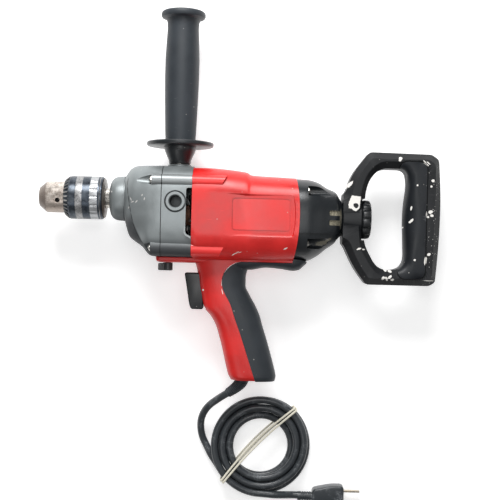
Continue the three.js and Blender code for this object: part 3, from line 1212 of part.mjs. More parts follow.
function cordPiecesAll() {
  const diameter = 2 * cord.radius;
  const turns = coilPath();
  const startWay = turns[0].clone().sub(turns[1]).setZ(0).normalize();
  const endWay = turns[turns.length - 1].clone().sub(turns[turns.length - 2]).setZ(0).normalize();
  const coilStart = turns[0].clone().addScaledVector(startWay, diameter);
  const coilEnd = turns[turns.length - 1].clone().addScaledVector(endWay, diameter);
  addCord('cord_coil', tubeThrough([coilStart, ...turns, coilEnd], cord.radius, coil.sides),
    materials.cordBlack);
  console.log('coil least gap to itself', leastGapInCoil(turns).toFixed(3));

  const boot = reliefPiece();
  const leadStart = boot.end.clone().addScaledVector(boot.way, gap);
  const lead = [leadStart, leadStart.clone().addScaledVector(boot.way, diameter),
    ...leadPoints.map((point) => new THREE.Vector3(...point)),
    coilStart.clone().addScaledVector(startWay, diameter + gap),
    coilStart.clone().addScaledVector(startWay, gap)];
  const leadCurve = new THREE.CatmullRomCurve3(lead, false, 'centripetal');
  const leadSteps = Math.round(leadCurve.getLength() / (2 * diameter)) * 2;
  addCord('cord_lead', sweep(leadCurve, () => cord.radius, leadSteps, cord.sides), materials.cordBlack);

  const tailStart = coilEnd.clone().addScaledVector(endWay, gap);
  const neck = new THREE.Vector3(tailStart.x + tail.length, tailStart.y - tail.aside,
    tableZ + plug.thickness / 2 + gap);
  const tailCurve = new THREE.CatmullRomCurve3([
    tailStart, tailStart.clone().addScaledVector(endWay, diameter),
    new THREE.Vector3(tailStart.x + tail.middle, tailStart.y - tail.middleAside, (tailStart.z + neck.z) / 2),
    neck.clone().setX(neck.x - diameter), neck], false, 'centripetal');
  addCord('cord_tail', sweep(tailCurve, () => cord.radius, 8, cord.sides), materials.cordBlack);
  plugPieces(neck.x + gap, neck.y, neck.z);
  tiePiece();
}

function addCord(name, geometry, material) {
  cordPieces.add(add(name, geometry, material));
}

// A tapered boot held in the grip's base, bent forward and down by the lead's weight.
function reliefPiece() {
  const [lean, dip] = [relief.lean, relief.dip].map(THREE.MathUtils.degToRad);
  const way = new THREE.Vector3(-Math.sin(lean) * Math.cos(dip), -Math.cos(lean) * Math.cos(dip),
    -Math.sin(dip));
  const mouth = new THREE.Vector3(relief.x, -grip.length, 0);
  const inner = mouth.clone().setY(mouth.y + relief.inside);
  const bend = mouth.clone().setY(mouth.y - relief.straight);
  const end = bend.clone().addScaledVector(way, relief.length);
  const curve = new THREE.CurvePath();
  curve.add(new THREE.LineCurve3(inner, mouth));
  curve.add(new THREE.QuadraticBezierCurve3(mouth, bend, end));
  const reach = curve.getLength();
  const radiusAt = (share) => THREE.MathUtils.lerp(relief.large, relief.small,
    Math.max(0, (share * reach - relief.inside) / (reach - relief.inside)));
  addCord('strain_relief', sweep(curve, radiusAt, 6, 8), materials.rubber);
  return { end, way };
}

function plugPieces(x, y, z) {
  const end = x + plug.neckLength + plug.length;
  const neck = bar([x, x + plug.neckLength + overrun], plug.neck / 2 + plug.neckWall, 8, { y, z });
  const [slim, wide, waist] = [plug.width * 0.34, plug.width / 2, end - plug.length * 0.4];
  const block = polygonPlate([
    [x + plug.neckLength, y - slim, plug.corner], [waist, y - wide, plug.corner],
    [end, y - wide, plug.corner], [end, y + wide, plug.corner], [waist, y + wide, plug.corner],
    [x + plug.neckLength, y + slim, plug.corner]],
  [z - plug.thickness / 2, z + plug.thickness / 2], { bevel: plug.bevel, curveSegments: 2 });
  addCord('plug_body', join(neck, block), materials.cordBlack);
  [1, -1].forEach((side, i) => {
    const middle = y + (side * plug.bladePitch) / 2;
    addCord(`plug_blade_${i + 1}`, slab([end + gap, end + gap + plug.bladeLength],
      [middle - plug.bladeThickness / 2, middle + plug.bladeThickness / 2],
      [z - plug.blade / 2, z + plug.blade / 2]), materials.brass);
  });
}

// A string tied once round the coil, over the top layer and under the low one.
function tiePiece() {
  const turn = THREE.MathUtils.degToRad(tie.angle);
  const low = tableZ + tie.radius + gap;
  const high = lowLayerZ + coil.pitch + cord.radius + tie.radius + tie.standoff;
  const reach = coil.radius + cord.radius + tie.radius + tie.standoff;
  const round = (high - low) / 2;
  const rings = [];
  for (const side of [1, -1]) {
    for (let i = 0; i <= tie.steps; i += 1) {
      const angle = (side * Math.PI) / 2 - (Math.PI * i) / tie.steps;
      const along = side * (reach + round * Math.abs(Math.cos(angle)));
      rings.push([along, (low + high) / 2 + round * Math.sin(angle)]);
    }
  }
  const centres = rings.map(([along, z]) => new THREE.Vector3(
    coil.x + along * Math.cos(turn), coil.y + along * Math.sin(turn), z));
  const across = new THREE.Vector3(-Math.sin(turn), Math.cos(turn), 0);
  const body = centres.map((centre, i) => {
    const ahead = centres[(i + 1) % centres.length];
    const behind = centres[(i + centres.length - 1) % centres.length];
    const outward = new THREE.Vector3().crossVectors(ahead.clone().sub(behind).normalize(), across);
    return Array.from({ length: tie.steps }, (_, k) => {
      const spin = (2 * Math.PI * k) / tie.steps;
      return centre.clone().addScaledVector(across, tie.radius * Math.cos(spin))
        .addScaledVector(outward, tie.radius * Math.sin(spin));
    });
  });
  addCord('cord_tie', ringsBody(body, true), materials.string);
}

// Build
gearCasePiece();
gearHousingPiece();
gearPlatePiece();
caseScrews();
gearTrain();
spindlePiece();
chuckPieces();
armaturePieces();
statorPieces();
brushPieces();
bearings();
housingHalves();
coverPieces();
housingScrews();
endCapPiece();
triggerPieces();
rearHandlePieces();
rearKnobAndStud();
sideHandlePieces();
cordPiecesAll();

// The origin moves to the bottom centre of the drill's box, its cord left out.
const box = new THREE.Box3();
for (const mesh of group.children) {
  if (!cordPieces.has(mesh)) box.expandByObject(mesh);
}
const centre = box.getCenter(new THREE.Vector3());
group.position.set(-centre.x, -centre.y, -box.min.z);
group.updateMatrixWorld(true);

export default group;
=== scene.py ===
# %% [markdown]
# # A spade handle drill, dressed
#
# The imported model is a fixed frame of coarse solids. This lesson builds the finished look round
# it: finer forms in place of the coarse shells, and node materials for everything that shows.
# Shapes are drawn in millimetres in the drill's own drawing frame: X runs from the chuck to the
# rear handle, Y towards the side handle, Z up from the drill's middle plane.

# %% Load the frame
import math
from functools import reduce

import bmesh
import bpy
import numpy as np
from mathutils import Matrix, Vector


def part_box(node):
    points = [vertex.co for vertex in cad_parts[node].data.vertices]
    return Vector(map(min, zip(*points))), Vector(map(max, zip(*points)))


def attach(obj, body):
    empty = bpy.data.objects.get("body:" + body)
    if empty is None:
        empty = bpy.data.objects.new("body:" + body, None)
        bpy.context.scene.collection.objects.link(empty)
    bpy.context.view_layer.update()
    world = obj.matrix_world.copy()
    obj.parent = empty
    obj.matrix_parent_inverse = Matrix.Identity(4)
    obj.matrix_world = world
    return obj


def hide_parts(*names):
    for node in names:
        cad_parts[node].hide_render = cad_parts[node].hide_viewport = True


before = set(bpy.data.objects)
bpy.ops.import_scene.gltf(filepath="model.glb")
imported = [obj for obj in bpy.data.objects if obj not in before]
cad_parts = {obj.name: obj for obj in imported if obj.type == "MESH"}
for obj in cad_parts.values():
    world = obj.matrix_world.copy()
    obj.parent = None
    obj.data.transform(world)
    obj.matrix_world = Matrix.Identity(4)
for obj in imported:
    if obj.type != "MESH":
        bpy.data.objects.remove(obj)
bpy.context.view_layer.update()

# %% [markdown]
# ## Units and the drawing frame
#
# The drawing frame's origin is where the spindle's axis meets the joint between the grey rear
# casting and the red housing. It is read from the frame, so that every piece follows the solids.

# %% Units and places
MM = 0.001
# The clearance between pieces, and how far the motor's axis lies beside the spindle's.
GAP = 0.3
MOTOR_DROP = 15.5


def middle(node, axis):
    """The middle of a node's box along one axis, in the model's millimetres."""
    low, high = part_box(node)
    return (low[axis] + high[axis]) / 2 / MM


ORIGIN = Vector((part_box("gear_housing")[1].x / MM + GAP / 2, middle("chuck_sleeve", 1),
                 middle("chuck_sleeve", 2)))
TABLE_Z = -ORIGIN.z


def place(x, y, z):
    """A point of the drawing frame, in metres in the model's own frame."""
    return (Vector((x, y, z)) + ORIGIN) * MM


def edge_of(node, axis, high=True):
    """One face of a node's box, in drawing millimetres."""
    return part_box(node)[1 if high else 0][axis] / MM - ORIGIN[axis]


def link(name, data):
    """A new object in the scene, from its mesh, camera or light."""
    made = bpy.data.objects.new(name, data)
    bpy.context.scene.collection.objects.link(made)
    return made


# %% [markdown]
# ## Camera
#
# The photograph looks straight down on the drill, which leans a degree and a half clockwise, so
# the camera is rolled the other way. One pixel is 1.05 mm at the drill's middle plane.

# %% Camera
PIXEL = 1.05
IMAGE = 500
VIEW_HEIGHT = 1050
VIEW_CENTRE = (60.1, -50.4)
ROLL = math.radians(1.5)
SENSOR = 36
CLIP_END = 10

camera_data = bpy.data.cameras.new("camera")
camera_data.sensor_width = SENSOR
camera_data.lens = SENSOR * VIEW_HEIGHT / (IMAGE * PIXEL)
camera_data.clip_end = CLIP_END
camera = link("camera", camera_data)
camera.location = place(*VIEW_CENTRE, VIEW_HEIGHT)
camera.rotation_euler = (0, 0, ROLL)
bpy.context.scene.camera = camera

# %% [markdown]
# ## Node materials
#
# `Value` wraps a socket, so that masks can be added, multiplied and compared as numbers are.
# `Finish` builds one material: textures read the piece's own coordinates, and what varies goes
# only to colour, roughness, metalness and bump.


# %% Socket wrapper
class Value:
    """A number or colour on its way through a material's nodes."""

    def __init__(self, tree, socket):
        self.tree = tree
        self.socket = socket

    def node(self, kind, inputs, output=0, **settings):
        """Any other node: inputs by name or index, and settings such as its operation."""
        made = self.tree.nodes.new(kind)
        for key, setting in settings.items():
            setattr(made, key, setting)
        for key, given in inputs.items():
            if isinstance(given, Value):
                self.tree.links.new(given.socket, made.inputs[key])
            else:
                made.inputs[key].default_value = given
        return Value(self.tree, made.outputs[output])

    def math(self, operation, first, second=0.0, clamp=False):
        return self.node("ShaderNodeMath", {0: first, 1: second}, operation=operation, use_clamp=clamp)

    def __add__(self, other):
        return self.math("ADD", self, other)

    def __sub__(self, other):
        return self.math("SUBTRACT", self, other)

    def __mul__(self, other):
        return self.math("MULTIPLY", self, other)

    def __truediv__(self, other):
        return self.math("DIVIDE", self, other)

    def __rsub__(self, other):
        return self.math("SUBTRACT", other, self)

    def __rtruediv__(self, other):
        return self.math("DIVIDE", other, self)

    __radd__ = __add__
    __rmul__ = __mul__

    def size(self):
        return self.math("ABSOLUTE", self)

    def over(self, other):
        """The larger of two masks."""
        return self.math("MAXIMUM", self, other)

    def under(self, other):
        """The smaller of two masks."""
        return self.math("MINIMUM", self, other)

    def step(self, low, high, out_low=0.0, out_high=1.0):
        """A smooth rise from one value to another between two limits."""
        return self.node("ShaderNodeMapRange", {0: self, 1: low, 2: high, 3: out_low, 4: out_high},
                         interpolation_type="SMOOTHSTEP")


class Finish:
    """One material, built from masks."""

    def __init__(self, name):
        self.material = bpy.data.materials.new(name)
        self.material.use_nodes = True
        self.tree = self.material.node_tree
        self.start = Value(self.tree, None)
        self.place = self.start.node("ShaderNodeTexCoord", {}, output="Object")
        split = self.start.node("ShaderNodeSeparateXYZ", {0: self.place}).socket.node
        self.axes = [Value(self.tree, socket) for socket in split.outputs]

    def along(self, axis):
        """The drawing coordinate along one axis, in millimetres."""
        return self.axes[axis] * (1 / MM) - ORIGIN[axis]

    def grains(self, grain, shift, stretch=(1, 1, 1)):
        """The piece's coordinates in units of `grain` millimetres."""
        scale = tuple(value / (grain * MM) for value in stretch)
        return self.start.node("ShaderNodeMapping", {"Vector": self.place, "Scale": scale, "Location": shift})

    def noise(self, grain, detail=4.0, roughness=0.55, seed=0, stretch=(1, 1, 1)):
        """Cloudy noise whose lumps are about `grain` millimetres wide."""
        moved = self.grains(grain, (seed, seed * 1.7, seed * 0.6), stretch)
        return self.start.node("ShaderNodeTexNoise", {"Vector": moved, "Scale": 1.0, "Detail": detail,
                                                      "Roughness": roughness})

    def cells(self, grain, seed):
        """Distance to the nearest of scattered points, about `grain` millimetres apart."""
        moved = self.grains(grain, (seed, seed * 0.7, seed * 2.1))
        return self.start.node("ShaderNodeTexVoronoi", {"Vector": moved, "Scale": 1.0})

    def near(self, x, y, radius, stretch, lean):
        """How near a spot of the drawing is: 1 at its middle, 0 at its radius."""
        dx = self.along(0) - x
        dy = self.along(1) - y
        turn = math.radians(lean)
        ahead = dx * math.cos(turn) + dy * math.sin(turn)
        aside = (dy * math.cos(turn) - dx * math.sin(turn)) * stretch
        squares = ahead * ahead + aside * aside
        return 1.0 - self.start.math("SQRT", squares) / radius

    def nearest(self, spots):
        """How near the nearest of several spots is."""
        return reduce(Value.over, [self.near(*spot) for spot in spots])

    def wear(self, low=0.53, high=0.6):
        """A mask of worn outer edges."""
        return self.start.node("ShaderNodeNewGeometry", {}, output="Pointiness").step(low, high)

    def mix(self, factor, first, second):
        """Two colours mixed by a mask; a colour is three numbers or a Value."""
        inputs = {0: factor}
        for key, given in ((6, first), (7, second)):
            inputs[key] = given if isinstance(given, Value) else (*given, 1.0)
        return self.start.node("ShaderNodeMix", inputs, output=2, data_type="RGBA")

    def layers(self, colour, *layers):
        """A colour with others laid over it, each as its mask and its colour."""
        for mask, tint in layers:
            colour = self.mix(mask, colour, tint)
        return colour

    def done(self, colour, roughness, bumps, depth, metallic=0.0, shine=0.5):
        """Sets the shader; the bumps rise `depth` millimetres from 0 to 1."""
        normal = self.start.node("ShaderNodeBump", {"Height": bumps, "Strength": 1.0, "Distance": depth * MM})
        shader = self.tree.nodes["Principled BSDF"]
        for name, given in (("Base Color", colour), ("Roughness", roughness), ("Normal", normal),
                            ("Metallic", metallic), ("Specular IOR Level", shine)):
            if isinstance(given, Value):
                self.tree.links.new(given.socket, shader.inputs[name])
            else:
                shader.inputs[name].default_value = given
        return self.material


# %% [markdown]
# ## The finishes
#
# Colours are linear. Each finish has the wear that the photograph shows: dust and scuffs on the
# black plastic, white paint splashes on the rear handle, rubbed bands on the chuck.

# %% Paint splashes
WHITE_PAINT = (0.8, 0.78, 0.74)
# Each splash, scuff or chip: x, y, radius, how much narrower it is across, lean.
SPLASHES = [
    (161.6, 20, 5.6, 2.6, 50), (213, 48, 2.6, 1.2, 60), (212.4, 46.4, 1.8, 1, 0), (240, 43, 4.4, 5, -40),
    (242, 44, 3.6, 5, -40), (238, 45.6, 3, 5, -40), (247, 26, 2.1, 1.2, 0), (245.6, 20, 1.5, 1, 0),
    (241.4, -8.6, 3.2, 3, 85), (245.4, -6.4, 3, 1.3, 20), (247, -10, 2.2, 1.2, 0), (243, -11.6, 1.6, 1, 0),
    (244.9, -50.1, 2.4, 1.3, 30), (241.4, -57, 5.4, 3.2, 85), (225.8, -2.8, 2.8, 2.6, 80),
    (226.4, -15.6, 3, 2, 50), (225, -17.2, 1.6, 1, 0), (231.2, 21, 1.2, 1, 0), (218.4, -23, 1.8, 1.6, 30),
    (216.4, -39, 2, 2.4, 80), (230.2, -56.3, 1.4, 1, 0), (172.6, -46.2, 3.4, 3, 20), (177.4, -46.8, 2, 2, 0),
    (200.8, -67.7, 2.4, 1.3, -40), (205.6, -68.6, 3, 1.8, -20), (198.2, -76, 2.8, 1.4, 40),
    (201.8, -76.6, 3, 2, -60), (205.2, -74.6, 3.2, 2, 40), (207.9, -77.2, 2.2, 1.4, 0),
    (245.6, -77.4, 7.4, 14, 0)]
BARE_SPOT = (168.2, -1.6, 3.6, 1, 0)
# Where the fine spots on the handle's rear bar start, and where they are full.
FINE_SPOTS = (238, 242)
# The corners of the one big flat patch, clockwise.
PATCH = [(163.8, 8.6), (173.4, 7.6), (172, -4.6), (168.6, -7.4), (161, -4.2), (160.4, -0.6)]


def inside_patch(finish):
    """How far inside the patch a place is, in millimetres."""
    depths = []
    for (x, y), (next_x, next_y) in zip(PATCH, PATCH[1:] + PATCH[:1]):
        run, rise = next_x - x, next_y - y
        side = math.hypot(run, rise)
        depths.append((finish.along(0) - x) * (rise / side) - (finish.along(1) - y) * (run / side))
    return reduce(Value.under, depths)


def splash_mask(finish):
    """Paint with ragged edges; the bare spot stays free of it."""
    ragged = finish.noise(2.6, detail=6.0, roughness=0.7, seed=3) * 1.2 - 0.6
    patch = inside_patch(finish) * 0.4 + 0.24
    mask = (finish.nearest(SPLASHES).over(patch) + ragged).step(0.2, 0.28)
    return mask * (finish.near(*BARE_SPOT) + ragged).step(0.3, 0.22)


def stroke_mask(finish, strokes):
    """Thin scuffs and lines, broken up a little."""
    broken = finish.noise(1.6, roughness=0.6, seed=7) * 0.8 - 0.4
    return (finish.nearest(strokes) + broken).step(0.2, 0.45)


# %% Plastic and rubber
def shade(base, factor, lift=0.0):
    """A colour made darker or paler."""
    return tuple(min(1.0, value * factor + lift) for value in base)


def shell_finish(name, base, roughness, seed, dust=0.05, grain=0.7, shine=0.5, painted=False, scuffs=(),
                 scuff_colour=(0.8, 0.76, 0.72)):
    """Moulded plastic: cloudy colour, fine texture, scratches, dust and edge wear."""
    finish = Finish(name)
    cloud = finish.noise(38, detail=5.0, seed=seed)
    fine = finish.noise(grain, detail=2.0, seed=seed + 4)
    scratch = finish.noise(2.4, detail=3.0, seed=seed + 9, stretch=(0.12, 1.6, 1)).step(0.66, 0.74)
    scratch = scratch * finish.noise(24, seed=seed + 2).step(0.48, 0.62)
    specks = finish.cells(7.5, seed).step(0.1, 0.05) * finish.noise(15, seed=seed + 6).step(0.52, 0.6)
    pale = shade(base, 1.35, dust)
    colour = finish.layers(shade(base, 0.72), (cloud.step(0.3, 0.7), base), (finish.wear() * 0.55, pale),
                           (scratch * 0.5, pale), (specks * 0.6, (0.5, 0.48, 0.45)))
    rough = cloud.step(0.25, 0.75, roughness - 0.07, roughness + 0.09) + scratch * 0.15
    if painted:
        fine_spots = finish.cells(2.4, seed).step(0.2, 0.12) * finish.along(0).step(*FINE_SPOTS)
        fine_spots = fine_spots * finish.noise(6, seed=seed + 3).step(0.5, 0.6)
        paint = splash_mask(finish)
        colour = finish.mix(paint.over(fine_spots * 0.7), colour, WHITE_PAINT)
        rough = rough + paint * 0.12
    if scuffs:
        colour = finish.mix(stroke_mask(finish, scuffs), colour, scuff_colour)
    return finish.done(colour, rough, fine * 0.6 + cloud * 0.4, 0.06, shine=shine)


# White scuffs on the red housing, the last four along the soft cover's edge.
SCUFFS = [(96, -48, 3.2, 3.4, 25), (43.4, -55.4, 3.4, 5, 35), (46.6, -53.6, 3.6, 6, 30),
          (50.2, -53, 2.6, 6, 20), (12.4, -93.2, 1.5, 1, 0), (40.6, -72.4, 3.2, 6, 35),
          (34.6, -76.2, 3.6, 6, 55), (31.9, -84.6, 5, 8, 88), (32.6, -94, 4.4, 8, -76)]
# Dust in the cap's lower channels and round its air slots.
CAP_DUST = [(133, -41.6, 9, 2.6, 10), (139, -38.6, 7, 3.4, 30), (152.6, -15.5, 15, 9, 90)]

red_plastic = shell_finish("red_plastic", (0.68, 0.014, 0.012), 0.36, 1, dust=0.03, grain=0.9,
                           scuffs=SCUFFS)
black_plastic = shell_finish("black_plastic", (0.009, 0.0105, 0.012), 0.38, 2, dust=0.06, shine=0.45)
cap_plastic = shell_finish("cap_plastic", (0.014, 0.017, 0.02), 0.34, 8, dust=0.06, scuffs=CAP_DUST,
                           scuff_colour=(0.15, 0.14, 0.11))
painted_plastic = shell_finish("painted_plastic", (0.007, 0.008, 0.0095), 0.4, 3, shine=0.2, painted=True)
soft_rubber = shell_finish("soft_rubber", (0.027, 0.033, 0.04), 0.5, 5, grain=0.5, shine=0.4)
painted_rubber = shell_finish("painted_rubber", (0.012, 0.0145, 0.018), 0.45, 6, shine=0.3, painted=True)

# %% Bare metal
STAIN = (0.1, 0.06, 0.035)


def metal_finish(name, base, roughness, seed, stain=0.35):
    """Bare metal: turning marks, smudges, stains and small pits."""
    finish = Finish(name)
    marks = finish.noise(1.2, detail=3.0, seed=seed, stretch=(0.08, 1.4, 1.4))
    cloud = finish.noise(9, detail=6.0, roughness=0.65, seed=seed + 5)
    spots = finish.cells(2.6, seed).step(0.22, 0.08) * finish.noise(8, seed=seed + 1).step(0.45, 0.6)
    colour = finish.layers(shade(base, 0.45), (cloud.step(0.35, 0.65), base), (spots * 0.8, STAIN),
                           (cloud.step(0.58, 0.7) * stain, STAIN), (finish.wear() * 0.5, (0.7, 0.68, 0.64)))
    rough = cloud.step(0.3, 0.7, roughness - 0.08, roughness + 0.12) + spots * 0.3
    return finish.done(colour, rough, marks * 0.5 - spots * 0.5, 0.05, metallic=1.0)


bright_steel = metal_finish("bright_steel", (0.6, 0.57, 0.52), 0.28, 11)
dark_steel = metal_finish("dark_steel", (0.1, 0.095, 0.09), 0.36, 12, stain=0.2)
zinc = metal_finish("zinc", (0.66, 0.64, 0.6), 0.3, 13, stain=0.1)
brass = metal_finish("brass", (0.62, 0.42, 0.13), 0.3, 14)
copper = metal_finish("copper", (0.5, 0.2, 0.08), 0.35, 15)
iron = metal_finish("iron", (0.22, 0.2, 0.18), 0.5, 16)

# %% Chuck
# The sleeve's black oxide is rubbed silver on two bands. Behind them lies a black ring.
BANDS = [(-121.5, -114.8), (-106.6, -98.9)]
RING_FRONT = -134.6
RING_REAR = -94.2
NOSE_RADIUS = 16.4
# Where the tip's brown starts, and where it is full.
NOSE_TIP = (-152.4, -154)
KEY_HOLE = {"x": -140.7, "radius": 2.5, "rim": 3.3}


def chuck_finish():
    """Bare steel with rust specks, browner below and at the tip, and painted shade in the key holes."""
    finish = Finish("chuck_steel")
    x, y, z = (finish.along(axis) for axis in range(3))
    radius = finish.start.math("SQRT", y * y + z * z)
    cloud = finish.noise(5, detail=6.0, roughness=0.7, seed=61)
    marks = finish.noise(1.2, detail=3.0, seed=62, stretch=(1.6, 0.4, 0.4))
    rust = finish.noise(1.8, detail=5.0, roughness=0.7, seed=63).step(0.57, 0.66)
    lower = y.step(4, -15) * cloud.step(0.3, 0.6, 0.3, 0.65)
    tip = x.step(*NOSE_TIP) * cloud.step(0.2, 0.6, 0.5, 0.85)
    # Painted shade: the key holes made dark inside the nose.
    hole = (x - KEY_HOLE["x"]).size().step(KEY_HOLE["rim"] + 1, KEY_HOLE["rim"] + 0.4)
    hole = hole * radius.step(NOSE_RADIUS - 0.9, NOSE_RADIUS - 1.5)
    colour = finish.layers(
        (0.42, 0.365, 0.32), (cloud.step(0.35, 0.65), (0.82, 0.75, 0.68)),
        (rust * 0.85, (0.13, 0.055, 0.035)), (finish.wear() * 0.4, (0.6, 0.58, 0.55)),
        (x.step(RING_REAR - 1, RING_REAR) * 0.8, (0.1, 0.09, 0.08)), (lower, (0.24, 0.175, 0.14)),
        (tip, (0.12, 0.09, 0.075)), (hole, (0.008, 0.007, 0.006)))
    return finish.done(colour, cloud.step(0.3, 0.7, 0.26, 0.42) + rust * 0.3, marks * 0.5 + rust * 0.5, 0.06,
                       metallic=0.6 - (hole * 0.55).over(rust * 0.4).over(tip * 0.3))


def sleeve_finish():
    """Black oxide with two rubbed bands, worn teeth and a bright line behind."""
    finish = Finish("sleeve_steel")
    x = finish.along(0)
    ragged = finish.noise(1.6, detail=5.0, roughness=0.7, seed=21)
    about = x + ragged * 0.8
    rubbed = reduce(Value.over, [about.step(low, low + 0.6) * about.step(high + 0.8, high + 0.2)
                                 for low, high in BANDS])
    patchy = finish.noise(1.3, detail=6.0, roughness=0.75, seed=22).step(0.36, 0.62)
    cloud = finish.noise(6, detail=5.0, seed=23)
    rear_band = x.step(-112, -108)
    silver = finish.layers((0.16, 0.16, 0.165), (patchy, (0.42, 0.42, 0.42)),
                           (rear_band, (0.44, 0.45, 0.46)))
    teeth = finish.wear(0.52, 0.58) * x.step(RING_FRONT + 7, RING_FRONT + 6)
    line = (x - (RING_REAR - 2.4)).size().step(0.5, 0.2)
    colour = finish.layers((0.045, 0.055, 0.07), (cloud.step(0.4, 0.7), (0.1, 0.115, 0.135)),
                           (rubbed, silver), ((teeth * 0.8).over(line * 0.5), (0.62, 0.6, 0.56)))
    return finish.done(colour, cloud.step(0.3, 0.7, 0.26, 0.38) + rubbed * patchy * 0.12, ragged, 0.05,
                       metallic=0.8)


chuck_steel = chuck_finish()
sleeve_steel = sleeve_finish()

# %% Grey casting
CASE_SPLIT = 31
# A painted shade line along the step that runs round the front of the gear case, as short strokes.
CASE_LINE = [(-66.9, 16, 6.4, 9, 88), (-66.2, 7, 6.4, 9, -83), (-64.6, -2, 6.4, 9, -80),
             (-63, -11, 6.4, 9, -77), (-61, -20, 6.4, 9, -76), (-58.4, -29.6, 6.4, 9, -70),
             (-54.6, -38.6, 6.4, 9, -62), (-49.4, -46, 5.6, 9, -50)]
# The same step as one parabola: x is its own x and `bend` times the square of the way from its y.
CASE_EDGE = {"x": -66.9, "y": 16, "bend": 0.00455}
CASE_CHIPS = [(-62.2, -2, 2.6, 3.4, -60), (-60.4, -4.6, 2.2, 3, 20), (-56.2, -4.2, 2.4, 3, 50),
              (-48, -1.4, 2.2, 3, 80), (-50.4, 2.4, 1.8, 2.4, 70), (-64.3, -10.4, 1.6, 2, 80),
              (-84, 6, 1.2, 1, 0)]
BOSS = {"x": -16.6, "y": -3.2, "radius": 9.9, "bore": 6, "turns": 9, "pitch": 2}


def casting_finish():
    """Painted die casting: satin grey with pale chips and dark seams, with painted shade in the boss's groove
    and bore, along the front step and over the lower front and underside.
    """
    finish = Finish("cast_grey")
    x, y, height = finish.along(0), finish.along(1), finish.along(2).size()
    cloud = finish.noise(30, detail=5.0, seed=31)
    pebble = finish.noise(1.1, detail=3.0, seed=34)
    specks = finish.cells(6.5, 31).step(0.09, 0.05) * finish.noise(13, seed=39).step(0.55, 0.65)
    base = (0.27, 0.295, 0.3)
    reach = 1.0 - finish.near(BOSS["x"], BOSS["y"], 1, 1, 0)
    # Painted shade: a dark ring over the groove round the boss.
    ring = (reach - BOSS["radius"] - 0.6).size().step(1.0, 0.5) * height.step(36, 38)
    seam = (x + CASE_SPLIT).size().step(0.6, 0.3)
    # Painted shade: a dark line along the front step, on the top side only.
    front = finish.nearest(CASE_LINE).step(0.1, 0.5) * finish.along(2).step(-4, 4)
    # Painted shade: the boss's threaded bore made dark.
    bore = reach.step(BOSS["bore"] + 0.8, BOSS["bore"])
    # The real dark seam between the castings, together with the painted shade of the groove, the step and the
    # bore.
    dark = (ring * 0.9).over(seam * 0.85).over(front * 0.75).over(bore * 0.8)
    # Painted shade: darker over the lower front beyond the step's curve and towards the underside, in
    # patches.
    above = y - CASE_EDGE["y"]
    below_line = (x - above * above * CASE_EDGE["bend"] - CASE_EDGE["x"]).step(1, -1) * y.step(-10, -26)
    painted_low_shade = below_line.over(y.step(-38, -52)) * cloud.step(0.2, 0.6, 0.7, 0.95)
    colour = finish.layers(shade(base, 0.78), (cloud.step(0.3, 0.7), base), (specks * 0.8, (0.62, 0.6, 0.56)),
                           (stroke_mask(finish, CASE_CHIPS), (0.7, 0.68, 0.66)),
                           (finish.wear(0.54) * 0.25, (0.4, 0.41, 0.41)), (painted_low_shade, (0.028, 0.031, 0.035)),
                           (dark, (0.012, 0.014, 0.016)))
    return finish.done(colour, cloud.step(0.3, 0.7, 0.38, 0.5) + specks * 0.2 + painted_low_shade * 0.25, pebble, 0.07,
                       metallic=0.5 - painted_low_shade * 0.4)


cast_grey = casting_finish()


# %% Cord, dust, string and floor
def cord_finish():
    """Black rubber, rubbed grey and dusty in patches."""
    finish = Finish("cord_rubber")
    dust = finish.noise(11, detail=6.0, roughness=0.7, seed=41)
    rub = finish.noise(1.4, roughness=0.7, seed=44)
    mask = dust.step(0.5, 0.68) * rub.step(0.4, 0.62)
    colour = finish.mix(mask * 0.8, (0.032, 0.037, 0.042), (0.2, 0.215, 0.23))
    return finish.done(colour, mask.step(0, 1, 0.3, 0.6), rub, 0.12)


def flat_finish(name, base, roughness, grain, seed, spread=0.35, depth=0.1):
    """One colour with a soft cloud in it."""
    finish = Finish(name)
    cloud = finish.noise(grain, detail=5.0, seed=seed)
    colour = finish.mix(cloud.step(0.3, 0.7), shade(base, 1 - spread), base)
    return finish.done(colour, cloud.step(0.3, 0.7, roughness - 0.05, roughness + 0.08), cloud, depth)


# The floor's own light keeps it near white.
FLOOR_GLOW = 0.5

cord_rubber = cord_finish()
vent_dust = flat_finish("vent_dust", (0.36, 0.33, 0.24), 0.9, 2.2, 51, spread=0.6)
string_cotton = flat_finish("string_cotton", (0.9, 0.86, 0.72), 0.9, 0.8, 52)
carbon = flat_finish("carbon", (0.02, 0.02, 0.02), 0.6, 2, 53)
inner_dark = flat_finish("inner_dark", (0.03, 0.02, 0.015), 0.7, 6, 54)
floor_white = flat_finish("floor_white", (0.8, 0.8, 0.8), 0.9, 400, 55, spread=0.01, depth=0.01)
window_dust = flat_finish("window_dust", (0.42, 0.2, 0.13), 0.8, 7, 56, spread=0.6)
floor_shader = floor_white.node_tree.nodes["Principled BSDF"]
floor_shader.inputs["Emission Color"].default_value = (1, 1, 1, 1)
floor_shader.inputs["Emission Strength"].default_value = FLOOR_GLOW

# %% [markdown]
# ## Mesh tools
#
# Lofts, turned bodies, prisms and booleans, so that each form is made from the sizes that shape
# it. Every piece's object stays at the origin, and its place is in its mesh.

# %% Mesh tools
SMOOTH_ANGLE = 32
# Farther out than any piece reaches.
FAR = 400


